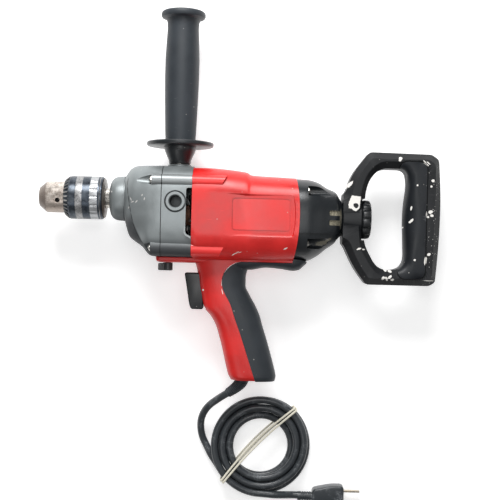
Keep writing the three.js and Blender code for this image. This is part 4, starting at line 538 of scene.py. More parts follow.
def rings_piece(name, rings, loop=False):
    """A closed body from rings of equally many drawing points; a ring of one point is a tip."""
    starts = []
    points = []
    for ring in rings:
        starts.append(len(points))
        points.extend(place(*point) for point in ring)
    count = max(len(ring) for ring in rings)
    faces = []
    for k in range(len(rings) if loop else len(rings) - 1):
        after = (k + 1) % len(rings)
        for i in range(count):
            j = (i + 1) % count
            around = ((k, i), (k, j), (after, j), (after, i))
            corners = list(dict.fromkeys(starts[row] + n % len(rings[row]) for row, n in around))
            if len(corners) > 2:
                faces.append(corners)
    for k in () if loop else (0, len(rings) - 1):
        if len(rings[k]) > 1:
            faces.append([starts[k] + i for i in range(count)])
    mesh = bpy.data.meshes.new(name)
    mesh.from_pydata(points, [], faces)
    form = bmesh.new()
    form.from_mesh(mesh)
    bmesh.ops.recalc_face_normals(form, faces=form.faces)
    form.to_mesh(mesh)
    form.free()
    return link(name, mesh)


def smooth_rows(rows, parts=6):
    """Rows between the given rows, on curves that never overshoot them."""
    rows = np.array(rows, float)
    rise = np.diff(rows, axis=0)
    slope = np.zeros_like(rows)
    same = rise[1:] * rise[:-1] > 0
    both = np.where(same, rise[1:] + rise[:-1], 1.0)
    slope[1:-1] = np.where(same, 2 * rise[1:] * rise[:-1] / both, 0.0)
    slope[0], slope[-1] = rise[0], rise[-1]
    out = []
    for k in range(len(rise)):
        for t in np.arange(parts) / parts:
            h = (1 + 2 * t) * (1 - t) ** 2, t * (1 - t) ** 2, t * t * (3 - 2 * t), t * t * (t - 1)
            out.append(h[0] * rows[k] + h[1] * slope[k] + h[2] * rows[k + 1] + h[3] * slope[k + 1])
    return [*out, rows[-1]]


def section(low, high, half, power, count=96):
    """A rounded section between two limits and two depths, as (across, z) pairs."""
    turn = np.arange(count) * 2 * math.pi / count
    bend = 2 / power
    across = (low + high) / 2 + (high - low) / 2 * np.sign(np.sin(turn)) * np.abs(np.sin(turn)) ** bend
    z = half * np.sign(np.cos(turn)) * np.abs(np.cos(turn)) ** bend
    return list(zip(across, z))


def loft(name, stations, upright=False, flat=None):
    """A lofted body through stations (along, low, high, half, power); `flat` limits its depth."""
    rings = []
    for along, low, high, half, power in smooth_rows(stations):
        ring = []
        for across, z in section(low, high, half, power):
            if flat:
                z = max(-flat, min(flat, z))
            ring.append((across, along, z) if upright else (along, across, z))
        rings.append(ring)
    return rings_piece(name, rings)


def share_loft(name, form, shares, grow=0.0, **settings):
    """A loft through shares (along, high, low, half) of a form's sizes, its skin moved out by `grow`.

    Its power is the form's, or a fifth share. A closed form's end moves out too."""
    stations = []
    shift = form.get("shift", 0)
    for along, high, low, half, *power in shares:
        out = math.copysign(grow, form["length"]) if form.get("closed") and along == 1 else 0
        stations.append((form["start"] + form["length"] * along + out, shift + form["low"] * low - grow,
                         shift + form["high"] * high + grow, form["half"] * half + grow,
                         *(power or [form["power"]])))
    return loft(name, stations, **settings)


def turned(name, profile, centre=(0, 0), axis="x", steps=64, wave=None):
    """A turned body through (along, radius) points about an axis through `centre`.

    `wave(along, turn)` is added to the radius. A profile that starts and ends off the axis is a
    ring."""
    loop = profile[0][1] > 0 and profile[-1][1] > 0
    rings = []
    for along, radius in profile:
        ring = []
        for i in range(steps if radius > 0 else 1):
            turn = 2 * math.pi * i / steps
            reach = radius + (wave(along, turn) if wave and radius > 0 else 0)
            u, v = centre[0] + reach * math.cos(turn), centre[1] + reach * math.sin(turn)
            ring.append({"x": (along, u, v), "y": (v, along, u), "z": (u, v, along)}[axis])
        rings.append(ring)
    return rings_piece(name, rings, loop)


def rod(name, limits, radius, centre=(0, 0), axis="x", steps=64, end_radius=None):
    """A round bar between two limits; a second radius makes it a cone."""
    low, high = limits
    profile = [(low, 0), (low, radius), (high, end_radius or radius), (high, 0)]
    return turned(name, profile, centre, axis, steps)


def shifted(start, profile):
    """A profile whose places along the axis are counted from a start."""
    return [(start + along, radius) for along, radius in profile]


def parabola(start, corner, end, steps):
    """Points from one place to another, that leave and arrive in line with a corner."""
    return [start * (1 - t) ** 2 + corner * 2 * t * (1 - t) + end * t * t
            for t in np.linspace(0, 1, steps + 1)]


def rounded(points, steps=5):
    """An outline with its corners rounded: points are (x, y) or (x, y, radius)."""
    out = []
    count = len(points)
    for i, (x, y, *radius) in enumerate(points):
        corner = Vector((x, y))
        before = Vector(points[i - 1][:2]) - corner
        after = Vector(points[(i + 1) % count][:2]) - corner
        reach = min(*radius, before.length * 0.49, after.length * 0.49) if radius else 0
        if reach > 0:
            enter, leave = corner + before.normalized() * reach, corner + after.normalized() * reach
            out.extend(tuple(point) for point in parabola(enter, corner, leave, steps))
        else:
            out.append((x, y))
    return out


def prism(name, outline, low=-FAR, high=FAR):
    """An outline in X and Y carried between two heights, in either order."""
    return rings_piece(name, [[(x, y, level) for x, y in outline] for level in sorted((low, high))])


def rectangle(x, y, radius=0, steps=5):
    """A rounded rectangle's outline, from its limits in X and Y."""
    return rounded([(x[i], y[j], radius) for i, j in ((0, 0), (1, 0), (1, 1), (0, 1))], steps)


def block(name, x, y, z, radius=0):
    """A box between its limits, with its upright edges rounded."""
    return prism(name, rectangle(x, y, radius), *z)


def region(x=(-FAR, FAR), y=(-FAR, FAR), z=(-FAR, FAR)):
    """A box to cut with, endless where no limits are given."""
    return block("region", x, y, z)


def open_channel(limits, radii, widths, y, z, outside):
    """A round channel along X and the gap that opens it to the outside; both widen to one end."""
    (near, far), (narrow, wide) = limits, widths
    gap = [(near, y - narrow), (far, y - wide), (far, y + wide), (near, y + narrow)]
    bore = rod("channel", limits, radii[0], (y, z), steps=32, end_radius=radii[1])
    return prism("channel_gap", gap, z, outside), bore


def settle(piece):
    """Applies the piece's modifiers to its mesh."""
    bpy.context.view_layer.update()
    seen = piece.evaluated_get(bpy.context.evaluated_depsgraph_get())
    mesh = bpy.data.meshes.new_from_object(seen)
    piece.modifiers.clear()
    old = piece.data
    piece.data = mesh
    bpy.data.meshes.remove(old)
    return piece


def combine(operation, piece, tools):
    """Changes a piece by its tools, which are used up."""
    for tool in tools:
        step = piece.modifiers.new("combine", "BOOLEAN")
        step.operation = operation
        step.solver = "EXACT"
        step.object = tool
    settle(piece)
    for tool in tools:
        bpy.data.objects.remove(tool)
    return piece


def join(piece, *tools):
    return combine("UNION", piece, tools)


def cut(piece, *tools):
    return combine("DIFFERENCE", piece, tools)


def common(piece, *tools):
    return combine("INTERSECT", piece, tools)


def bevel(piece, width, segments=2, degrees=34):
    """Bevels the edges that are sharper than an angle."""
    step = piece.modifiers.new("bevel", "BEVEL")
    step.width = width * MM
    step.segments = segments
    step.limit_method = "ANGLE"
    step.angle_limit = math.radians(degrees)
    return settle(piece)


def soften(piece):
    """Smooth shading, with the sharp edges kept crisp."""
    form = bmesh.new()
    form.from_mesh(piece.data)
    bmesh.ops.remove_doubles(form, verts=form.verts, dist=0.01 * MM)
    for face in form.faces:
        face.smooth = True
    for edge in form.edges:
        edge.smooth = edge.calc_face_angle(0.0) < math.radians(SMOOTH_ANGLE)
    form.to_mesh(piece.data)
    form.free()


def dress(piece, material, body, slot, *nodes):
    """Gives a finished piece its material, its body and the solids that it stands for."""
    soften(piece)
    piece.data.materials.clear()
    piece.data.materials.append(material)
    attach(piece, body)
    if nodes:
        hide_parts(*nodes)


# %% [markdown]
# ## The mains lead
#
# The lead leaves the grip's base, runs round to the coil, winds in on the low layer, climbs in
# the middle turn and winds out again on top, and ends in the plug. Its route repeats the solids'.

# %% Cord route
CORD_RADIUS = 3.9
COIL = {"x": 77.6, "y": -260, "radius": 52.5, "pitch": 8.3, "turns": 5.1667, "start": 210, "climb": 0.5,
        "steps": 72, "above_table": 2.3}
RELIEF = {"x": 55, "y": -186, "large": 7.4, "small": 5, "inside": 12, "straight": 6, "length": 20,
          "lean": 55, "dip": 25, "ribs": 0.7}
LEAD = [(27.8, -211.6, -16.6), (20.6, -218, -21.4), (15.2, -225.8, -26.2), (12.2, -234.8, -30.4),
        (11.9, -244.4, -33.6), (13.9, -254, -35.8), (18, -262.9, -36.7)]
# Steps from the tail's first point: on the way to the plug, and inside the plug's neck.
TAIL = [(20, -1), (34, -1.5)]
PLUG = {"x": edge_of("plug_body", 0, high=False), "end": edge_of("plug_body", 0),
        "y": middle("plug_body", 1) - ORIGIN.y, "z": TABLE_Z + 8.8, "half_width": 12.9, "half_height": 8.4,
        "taper": 13.6, "neck": 5, "neck_length": 18, "mouth": 4.2, "ribs": 10, "rib_pitch": 1.3,
        "rib_depth": 0.55}
LOW_LAYER = TABLE_Z + COIL["above_table"] + CORD_RADIUS


def coil_route():
    """The coil's turns: in on the low layer, up in the middle turn, out on the high layer."""
    steps = round(COIL["turns"] * COIL["steps"])
    points = []
    for i in range(steps + 1):
        turns = COIL["turns"] * i / steps
        past_middle = turns - COIL["turns"] / 2
        radius = COIL["radius"] - COIL["pitch"] * (COIL["turns"] / 2 - abs(past_middle))
        t = min(1, max(0, past_middle / COIL["climb"] + 0.5))
        turn = math.radians(COIL["start"]) + 2 * math.pi * turns
        points.append(Vector((COIL["x"] + radius * math.cos(turn), COIL["y"] + radius * math.sin(turn),
                              LOW_LAYER + COIL["pitch"] * t * t * (3 - 2 * t))))
    return points


def relief_route():
    """The line through the strain relief, and the way that it points at its end."""
    lean, dip = math.radians(RELIEF["lean"]), math.radians(RELIEF["dip"])
    way = Vector((-math.sin(lean) * math.cos(dip), -math.cos(lean) * math.cos(dip), -math.sin(dip)))
    mouth = Vector((RELIEF["x"], RELIEF["y"], 0))
    bend = mouth - Vector((0, RELIEF["straight"], 0))
    inner = [mouth + Vector((0, RELIEF["inside"] * (1 - t), 0)) for t in np.linspace(0, 1, 8)[:-1]]
    return inner + parabola(mouth, bend, bend + way * RELIEF["length"], 52), way


def through(points, step=2.0):
    """A smooth line through points, with points about `step` millimetres apart."""
    points = [2 * points[0] - points[1], *points, 2 * points[-1] - points[-2]]
    out = []
    for a, b, c, d in zip(points, points[1:], points[2:], points[3:]):
        gaps = [max(0.001, (q - p).length ** 0.5) for p, q in ((a, b), (b, c), (c, d))]
        start = ((b - a) / gaps[0] - (c - a) / (gaps[0] + gaps[1]) + (c - b) / gaps[1]) * gaps[1]
        finish = ((c - b) / gaps[1] - (d - b) / (gaps[1] + gaps[2]) + (d - c) / gaps[2]) * gaps[1]
        parts = max(1, round((c - b).length / step))
        for t in np.arange(parts) / parts:
            out.append(b * (2 * t ** 3 - 3 * t ** 2 + 1) + start * (t ** 3 - 2 * t ** 2 + t)
                       + c * (3 * t ** 2 - 2 * t ** 3) + finish * (t ** 3 - t ** 2))
    return [*out, points[-2]]


def cord_route(exit_point, exit_way):
    """The cord's middle line, from the strain relief to the plug."""
    turns = coil_route()
    start_way = (turns[0] - turns[1]).normalized()
    end_way = (turns[-1] - turns[-2]).normalized()
    start_way.z = end_way.z = 0
    width = 2 * CORD_RADIUS
    lead = [exit_point, exit_point + exit_way * width, *[Vector(point) for point in LEAD],
            turns[0] + start_way * 2 * width, turns[0] + start_way * width, turns[0]]
    tail = turns[-1] + end_way * width
    half_way, neck = (tail + Vector((*steps, 0)) for steps in TAIL)
    half_way.z = (tail.z + PLUG["z"]) / 2
    neck.z = PLUG["z"]
    far = [turns[-1], tail, tail + end_way * width, half_way, neck - Vector((width, 0, 0)), neck]
    return [*through(lead)[:-1], *turns[:-1], *through(far)]


def tube(name, points, radius, sides=16):
    """A closed tube along points; the radius is a number or a function of the share along."""
    rings = []
    side = None
    for i, point in enumerate(points):
        ahead = (points[min(i + 1, len(points) - 1)] - points[max(i - 1, 0)]).normalized()
        side = Vector((0, 0, 1)).cross(ahead) if side is None else side - ahead * side.dot(ahead)
        side = side.normalized()
        lift = ahead.cross(side)
        reach = radius(i / (len(points) - 1)) if callable(radius) else radius
        rings.append([tuple(point + side * reach * math.cos(turn) + lift * reach * math.sin(turn))
                      for turn in np.arange(sides) * 2 * math.pi / sides])
    return rings_piece(name, rings)


# %% Cord and plug
boot_line, boot_way = relief_route()
cord_start = boot_line[-1] + boot_way * GAP
route = cord_route(cord_start, boot_way)
cord = tube("mains_lead", route, CORD_RADIUS)
dress(cord, cord_rubber, "drill_body", "cord_jacket", "cord_lead", "cord_coil", "cord_tail")

# The neck's mouth closes round the cord's end. Every other step of its ribs is a hollow.
neck_profile = [(0, 0), (0, PLUG["mouth"]), (-1.6, PLUG["mouth"]), (-1.6, PLUG["neck"] - 0.2)]
for i in range(PLUG["ribs"]):
    radius = PLUG["neck"] - PLUG["rib_depth"] * (i % 2)
    neck_profile += [(1 + PLUG["rib_pitch"] * i, radius), (1.9 + PLUG["rib_pitch"] * i, radius)]
neck_profile += [(PLUG["neck_length"], PLUG["neck"]), (PLUG["neck_length"], 0)]
plug = turned("plug_neck", shifted(PLUG["x"], neck_profile), (PLUG["y"], PLUG["z"]), steps=32)
plug_side = [(PLUG["x"] + 14, 8.6, 4), (PLUG["end"] - PLUG["taper"], PLUG["half_width"], 5),
             (PLUG["end"], PLUG["half_width"], 4)]
plug_outline = [(x, PLUG["y"] - across, radius) for x, across, radius in plug_side]
plug_outline += [(x, PLUG["y"] + across, radius) for x, across, radius in reversed(plug_side)]
plug_block = prism("plug_block", rounded(plug_outline), PLUG["z"] - PLUG["half_height"],
                   PLUG["z"] + PLUG["half_height"])
bevel(plug_block, 2.2, 4)
join(plug, plug_block)
dress(plug, cord_rubber, "drill_body", "cord_jacket", "plug_body")

# %% String round the coil
# The right and left reach are where the string turns down, from the coil's middle.
TIE = {"lean": 46, "right": 53, "left": 57, "half_width": 1.1, "half_depth": 0.9, "bulge": 0.8,
       "above_table": 1.2, "above_cord": 1.4}


def tie_strand(name, offset, bow):
    """One strand of string round the coil, over the top layer and under the low one."""
    turn = math.radians(TIE["lean"])
    ahead = Vector((math.cos(turn), math.sin(turn), 0))
    across = Vector((-math.sin(turn), math.cos(turn), 0))
    low = TABLE_Z + TIE["above_table"]
    high = LOW_LAYER + COIL["pitch"] + CORD_RADIUS + TIE["above_cord"]
    centre = Vector((COIL["x"], COIL["y"], (low + high) / 2))
    places = []
    for side, reach, next_reach in ((1, TIE["right"], TIE["left"]), (-1, TIE["left"], TIE["right"])):
        for i in range(13):
            angle = side * math.pi / 2 - math.pi * i / 12
            places.append((side * (reach + TIE["bulge"] * abs(math.cos(angle))), offset, math.sin(angle)))
        for share in np.arange(1, 12) / 12:
            along = side * (reach - (reach + next_reach) * share)
            places.append((along, offset + bow * math.sin(math.pi * share), -side))
    points = [centre + ahead * along + across * aside + Vector((0, 0, (high - low) / 2 * rise))
              for along, aside, rise in places]
    rings = []
    for i, point in enumerate(points):
        outward = (points[(i + 1) % len(points)] - points[i - 1]).normalized().cross(across)
        rings.append([tuple(point + across * TIE["half_width"] * math.cos(spin)
                            + outward * TIE["half_depth"] * math.sin(spin))
                      for spin in np.arange(8) * math.pi / 4])
    return rings_piece(name, rings, loop=True)


string = join(tie_strand("string", 3.4, 4.6), tie_strand("second_strand", 0.4, 3.4))
dress(string, string_cotton, "drill_body", "string", "cord_tie")


# %% Strain relief
def boot_radius(share):
    """The boot narrows to its end, with hollows behind its first fifth: two rows in every four."""
    row = int(share * (len(boot_line) - 1))
    hollow = RELIEF["ribs"] if row % 4 > 1 and share > 0.2 else 0
    return RELIEF["small"] + (RELIEF["large"] - RELIEF["small"]) * min(1, (1 - share) * 1.2) - hollow


boot = tube("lead_boot", boot_line, boot_radius, sides=24)
dress(boot, soft_rubber, "drill_body", "black_rubber", "strain_relief")
sum((b - a).length for a, b in zip(route, route[1:])) * MM

# %% [markdown]
# ## Grey gear case
#
# A loft that swells from the collar to the joint. The rear casting has the threaded bosses, the
# cooling window and, with the red housing, the ridges that hold the long screws.

# %% Gear case sizes
# The rows of shares, here and for the housing: along, high, low, half, power.
CASE = {"start": 0, "length": -71.2, "high": 35, "low": -60, "half": 42, "wall": 3.2}
CASE_SHARES = [
    (1, 0.668, 0.39, 0.557, 2), (0.965, 0.79, 0.54, 0.67, 2.1), (0.92, 0.9, 0.67, 0.76, 2.3),
    (0.84, 0.975, 0.745, 0.855, 2.6), (0.73, 1, 0.835, 0.92, 2.8), (0.6, 1, 0.985, 0.98, 3.1),
    (0.435, 1, 1, 1, 3.3), (0, 1, 1, 1, 3.4)]
# Each ridge: y, z, radius.
RIDGES = [(18.4, 36.4, 6), (18.4, -36.4, 6), (-50.6, 31.6, 7.8), (-50.6, -31.6, 7.8)]
RIDGE_START = -41.2
RIDGE_END = 32
# The axis of the top boss and of the side handle that it carries.
TOP_X = -15.9
FRONT_END = -CASE_SPLIT - GAP / 2
REAR_START = -CASE_SPLIT + GAP / 2


def case_loft(name, grow=0.0):
    return share_loft(name, CASE, CASE_SHARES, grow)


# %% Front of the gear case with its collar
case_front = common(case_loft("gear_case_front"), region(x=(-FAR, FRONT_END)))
join(case_front, turned("collar", [
    (-87.4, 10.9), (-87.4, 12.8), (-86.9, 15), (-85.9, 18), (-84.3, 20.4), (-82, 22), (-79, 22.9),
    (-75, 23.2), (-71.6, 23.4), (-60, 23.4), (-60, 10.9)]))
for y, z, radius in RIDGES:
    join(case_front, rod("ridge", (RIDGE_START, FRONT_END), radius, (y, z), steps=32))
    gap, bore = open_channel((-58, -41.5), (2.6, 5.4), (2.4, 5.2), y, z, z * 2)
    cut(case_front, bore, gap)
cut(case_front, turned("collar_groove", [(-71.6, 22.6), (-72, 24.4), (-70.2, 25.4), (-70.8, 22.6)]))
bevel(case_front, 0.5)
dress(case_front, cast_grey, "drill_body", "cast_grey", "gear_case")

# %% Rear casting with its bosses
case_rear = common(case_loft("gear_case_rear"), region(x=(REAR_START, -GAP / 2)))
for y, z, radius in RIDGES:
    join(case_rear, rod("ridge", (REAR_START, -GAP / 2), radius, (y, z), steps=32))
cut(case_rear, common(case_loft("inside", -CASE["wall"]), region(x=(-FAR, 0))))
join(case_rear, turned("top_boss", [(18, 0), (18, 12.4), (36.4, 12.4), (37, 11.8), (37, 0)], (0, TOP_X), "y"))
boss, bore = BOSS["radius"], BOSS["bore"]
rim = [(20, 0), (20, boss), (42.4, boss), (43, boss - 0.6), (43, 0)]
moat = [(39.6, boss), (39.6, boss + 1.2), (46, boss + 1.2), (46, boss)]
thread = [(43.2, 0), (43.2, bore + 1.3), (42, bore + 0.1)]
for turn in range(BOSS["turns"]):
    crest = 41.6 - BOSS["pitch"] * turn
    thread += [(crest, bore + 0.4), (crest - 1, bore - 0.4)]
thread += [(24, bore - 0.4), (24, 0)]
for side in (1, -1):
    rim_form, moat_form, thread_form = (
        turned("boss", [(height * side, reach) for height, reach in profile], (BOSS["x"], BOSS["y"]), "z")
        for profile in (rim, moat, thread))
    join(case_rear, rim_form)
    cut(case_rear, moat_form)
    cut(case_rear, thread_form)
cut(case_rear, rod("top_bore", (20, 38), 6.2, (0, TOP_X), "y"))

# %% Cooling window
# The window's rim stands a little above the casting, and both run on to the red housing's joint.
window = prism("window", rounded([(-5.8, 10.8, 2.6), (4, 10.8), (4, -40.5), (-5.8, -35.6, 2.6)]))
core = rod("core", (-12, 6), 16, (-MOTOR_DROP, 0))
cut(case_rear, cut(window, core))
rim_outline = rounded([(-7.4, 12.4, 3), (4, 12.4), (4, -42.5), (-7.4, -36.6, 3)])
rim_inside = rounded([(-5.8, 10.8, 2.6), (8, 10.8), (8, -42), (-5.8, -35.6, 2.6)])
for side in (1, -1):
    window_rim = prism("window_rim", rim_outline, 41.2 * side, 42.7 * side)
    join(case_rear, cut(window_rim, prism("rim_inside", rim_inside), region(x=(-GAP / 2, FAR))))
bevel(case_rear, 0.5)
dress(case_rear, cast_grey, "drill_body", "cast_grey", "gear_housing")

# %% [markdown]
# ## Red housing and its soft grip cover
#
# Barrel, grip, tongue and lip are four lofts in one. The soft cover is the part of them that lies
# inside its outline, made a little proud of the red skin.

# %% Housing lofts
# A form with a power of its own has none in its rows.
BARREL = {"start": 0, "length": 109.6, "high": 33.8, "low": -62.5, "half": 44.2, "power": 3.2, "flat": 43,
          "wall": 2.6}
BARREL_SHARES = [(0, 1, 0.96, 0.985), (0.06, 1, 1, 1), (0.2, 0.992, 1, 1), (0.505, 0.885, 1, 1),
                 (0.545, 0.811, 1, 1), (1, 0.742, 0.985, 0.985)]
GRIP = {"start": 0, "length": -186, "shift": 2.3, "high": 50, "low": 50, "half": 17.6, "power": 2.6,
        "closed": True}
GRIP_SHARES = [
    (0.271, 1.3, -0.04, 1), (0.337, 1.24, 0, 1), (0.379, 1.11, 0.05, 1), (0.43, 1.07, 0.09, 1),
    (0.473, 1.072, 0.11, 1), (0.524, 1.16, 0.146, 1), (0.591, 1.3, 0.2, 1), (0.645, 1.39, 0.365, 1),
    (0.692, 1.44, 0.47, 1), (0.786, 1.555, 0.585, 1), (0.975, 1.75, 0.765, 1), (1, 1.73, 0.82, 0.9)]
TONGUE = {"start": 0, "length": -37.5, "high": -58, "low": -65.5, "half": 16, "power": 4, "closed": True}
TONGUE_SHARES = [(1, 1, 0.955, 0.8), (0.96, 1, 0.99, 0.95), (0.85, 1, 1, 1), (0, 1, 1, 1), (-0.4, 1, 1, 1)]
LIP = {"start": 46, "length": 72.5, "high": -50, "low": -70.6, "half": 21, "power": 3, "closed": True}
LIP_SHARES = [(0, 1, 0.985, 0.9), (0.2, 1, 1, 1), (0.43, 1, 0.962, 1), (0.63, 1, 0.975, 1), (0.81, 1, 1, 1),
              (0.9, 1, 0.985, 0.95), (0.96, 1, 0.935, 0.85), (1, 1, 0.89, 0.7)]
CAP = {"start": 105.1, "length": 50, "high": 25.1, "low": -61.8, "half": 42, "bulge": 5.6}
CAP_SHARES = [(-0.14, 1, 1, 1, 2.6), (0.24, 0.976, 1, 0.985, 2.6), (0.46, 0.88, 0.93, 0.915, 2.6),
              (0.67, 0.641, 0.795, 0.775, 2.6), (0.86, 0.47, 0.68, 0.65, 2.4),
              (0.935, 0.247, 0.58, 0.51, 2.1), (1, 0.06, 0.53, 0.4, 2)]
# The cover's edge: how far down the grip, and how far back from its front.
COVER_SHARES = [(0.337, 0.958), (0.342, 0.89), (0.358, 0.772), (0.388, 0.658), (0.42, 0.602), (0.452, 0.588),
                (0.48, 0.602), (0.512, 0.646), (0.546, 0.72), (0.58, 0.782), (0.655, 0.878), (0.748, 1.006),
                (1.1, 1.45)]
PROUD = 0.6


def lip_loft(grow):
    """The lip's top lies inside the barrel, so it stays where it is."""
    return share_loft("lip", {**LIP, "high": LIP["high"] - grow}, LIP_SHARES, grow)


def shell_body(grow=0.0):
    """The red housing's outer form, its skin moved out by `grow`."""
    return join(share_loft("barrel", BARREL, BARREL_SHARES, grow, flat=BARREL["flat"] + grow),
                share_loft("grip", GRIP, GRIP_SHARES, grow, upright=True),
                share_loft("tongue", TONGUE, TONGUE_SHARES, grow), lip_loft(grow))


def cap_loft(name, grow=0.0):
    return share_loft(name, CAP, CAP_SHARES, grow)


def front_of_cap(shift):
    """The region in front of the curved joint with the end cap."""
    centre = (BARREL["high"] + BARREL["low"]) / 2
    reach = (BARREL["high"] - BARREL["low"]) / 2
    edge = [(BARREL["length"] + shift - CAP["bulge"] * share ** 2, centre + reach * share)
            for share in np.linspace(-1.3, 1.3, 27)]
    return prism("front_of_cap", [(-FAR, -FAR), (edge[0][0], -FAR), *edge, (edge[-1][0], FAR), (-FAR, FAR)])


def cover_region(shift=0.0):
    """The region behind the soft cover's front edge."""
    edge = [Vector((GRIP["shift"] + GRIP["high"] * back + shift, GRIP["length"] * down - shift, 0))
            for down, back in COVER_SHARES]
    fine = [(point.x, point.y) for point in through(edge, 3)]
    top = fine[0][1]
    return prism("cover_region", [(170, top), *fine, (FAR, fine[-1][1]), (FAR, top)])


def halves(piece, names, material, slot, nodes):
    """Splits a piece at the drill's middle plane into its left and right mouldings."""
    for name, limits, node in zip(names, ((GAP / 2, FAR), (-FAR, -GAP / 2)), nodes):
        half = common(link(name, piece.data.copy()), region(z=limits))
        bevel(half, 0.45)
        dress(half, material, "drill_body", slot, node)
    bpy.data.objects.remove(piece)


# %% Red housing
housing = shell_body()
cut(housing, common(case_loft("seat", GAP), region(x=(-FAR, GAP / 2))),
    region(x=(-FAR, GAP / 2), y=(TONGUE["high"], FAR)))
common(housing, front_of_cap(-GAP / 2))
# The ridges end in a slant.
for y, z, radius in RIDGES:
    end = prism("ridge_end", [(0, y - 9), (RIDGE_END - 4.6, y - 9), (RIDGE_END + 4.6, y + 9), (0, y + 9)])
    join(housing, common(rod("ridge", (GAP / 2, RIDGE_END + 5), radius, (y, z), steps=32), end))
wall = BARREL["wall"]
room = loft("barrel_room", [(x, BARREL["low"] + wall, BARREL["high"] * top - wall, 40.6, 3.2)
                            for x, top in ((-5, 1), (22, 0.99), (55, 0.885), (62, 0.81), (130, 0.74))],
            flat=BARREL["flat"] - wall)
cut(housing, common(room, region(x=(GAP / 2 - 1, FAR))))
# The trigger's room has its travel behind it and a small gap at its sides.
cut(housing, region(x=(-12, 19.5), y=(-113.9, -75.3), z=(-8.3, 8.3)))

# %% Recess and framed plate
# The recess is deepest behind and runs out to nothing in front.
recess_low = rounded([(52, 4.6, 2), (103, 6, 3), (105.4, -14, 30), (103, -35.4, 3), (58, -33.8, 3)])
recess_high = rounded([(30, 6.4, 2), (103.6, 7.4, 3), (106.2, -14, 30), (103.6, -37.4, 3), (34, -36.4, 3)])
plate = rectangle((41, 100), (-31, 2), 4)
plate_inside = rectangle((41.9, 99.1), (-30.1, 1.1), 3.2)
for side in (1, -1):
    levels = ((recess_low, BARREL["flat"] - 1.5), (recess_high, BARREL["flat"] + 0.2), (recess_high, FAR))
    cut(housing, rings_piece("recess", [[(x, y, side * z) for x, y in outline] for outline, z in levels]))
    groove = prism("groove", plate, side * (BARREL["flat"] - 2.1), side * FAR)
    cut(housing, cut(groove, prism("groove_inside", plate_inside)))

# %% Soft cover
cover = common(shell_body(PROUD), cover_region(0.35), region(y=(-FAR, BARREL["low"] - 0.2)))
cap_seat = common(lip_loft(PROUD), region(x=(100, FAR), y=(-FAR, -56)))
cut(cap_seat, front_of_cap(GAP / 2), cap_loft("cap_room", GAP))
join(cover, cap_seat)
cut(housing, common(cover_region(), region(y=(-FAR, BARREL["low"] + 0.1))))

halves(housing, ("red_housing_left", "red_housing_right"), red_plastic, "red_shell",
       ("housing_left", "housing_right"))
halves(cover, ("soft_cover_left", "soft_cover_right"), soft_rubber, "black_rubber",
       ("grip_cover_left", "grip_cover_right"))

# %% [markdown]
# ## End cap
#
# The cap narrows to the rear handle's seat. Its screws sit in deep channels, and two slots on
# each side let the motor's air in.

# %% End cap
end_cap = cap_loft("rear_cap")
cut(end_cap, front_of_cap(GAP / 2))
for y in (11.5, -42.5):
    for side in (1, -1):
        gap, bore = open_channel((118, 150), (4.9, 6.3), (5, 6.4), y, 28 * side, FAR * side)
        cut(end_cap, gap, bore)
for side in (1, -1):
    for y in (-MOTOR_DROP + 5, -MOTOR_DROP - 5):
        slot = rectangle((140.3, 153), (y - 2.6, y + 2.6), 1.2)
        cut(end_cap, prism("slot", slot, 14 * side, FAR * side))
# Below its middle band the cap steps in a little.
cap_step = common(cap_loft("cap_step", 1), region(x=(100, 151), y=(-FAR, -31.5)))
cut(end_cap, cut(cap_step, cap_loft("cap_core", -1.1)))
liner = common(cap_loft("vent_liner", -1.4), region(x=(139, 152.8), y=(-24, -7)))
dress(liner, vent_dust, "drill_body", "black_plastic")
bevel(end_cap, 0.6)
dress(end_cap, cap_plastic, "drill_body", "black_plastic", "end_cap")

# %% [markdown]
# ## Rear D-handle, its knob and soft sleeve
#
# The D is a loop of rounded sections between an outer and an inner outline, seen from the side.

# %% D-handle outlines
D_HANDLE = {"start": 155.4, "length": 101.4, "top": 53.5, "bottom": 83.2, "half": 18, "middle": 0.44,
            "hub_end": 175, "steps": 180}
# Each corner: along, across, roundness.
D_OUTER = [(-0.1, 0.085, 0.02), (0.02, 0.2, 0.05), (0.085, 0.58, 0.1), (0.26, 1.02, 0.03), (0.9, 1, 0.02),
           (0.975, 0.9, 0.02), (1, 0.2, 0.4), (0.995, -0.42, 0.4), (0.962, -0.955, 0.02), (0.9, -1, 0.02),
           (0.255, -1, 0.03), (0.12, -0.78, 0.1), (0.01, -0.5, 0.05), (-0.1, -0.42, 0.02)]
D_INNER = [(0.225, 0.21, 0.1), (0.265, 0.49, 0.14), (0.37, 0.71, 0.16), (0.645, 0.71, 0.12),
           (0.658, 0.4, 0.2), (0.62, -0.1, 0.3), (0.65, -0.8, 0.14), (0.37, -0.82, 0.16),
           (0.25, -0.55, 0.14), (0.225, -0.46, 0.1)]


def handle_outline(shares):
    """One outline of the D; below the motor's axis its shares count another height."""
    return rounded([(D_HANDLE["start"] + D_HANDLE["length"] * along,
                     D_HANDLE["top" if rise > 0 else "bottom"] * rise, D_HANDLE["length"] * corner)
                    for along, rise, corner in shares], steps=8)


def reach_along(outline, centre, turn):
    """How far an outline lies from a point inside it, in one direction."""
    way = (math.cos(turn), math.sin(turn))
    best = 0.0
    for i, (x, y) in enumerate(outline):
        after = outline[(i + 1) % len(outline)]
        span = (after[0] - x, after[1] - y)
        offset = (x - centre[0], y - centre[1])
        spread = way[0] * span[1] - way[1] * span[0]
        if abs(spread) < 1e-9:
            continue
        share = (offset[0] * way[1] - offset[1] * way[0]) / spread
        if 0 <= share <= 1:
            best = max(best, (offset[0] * span[1] - offset[1] * span[0]) / spread)
    return best


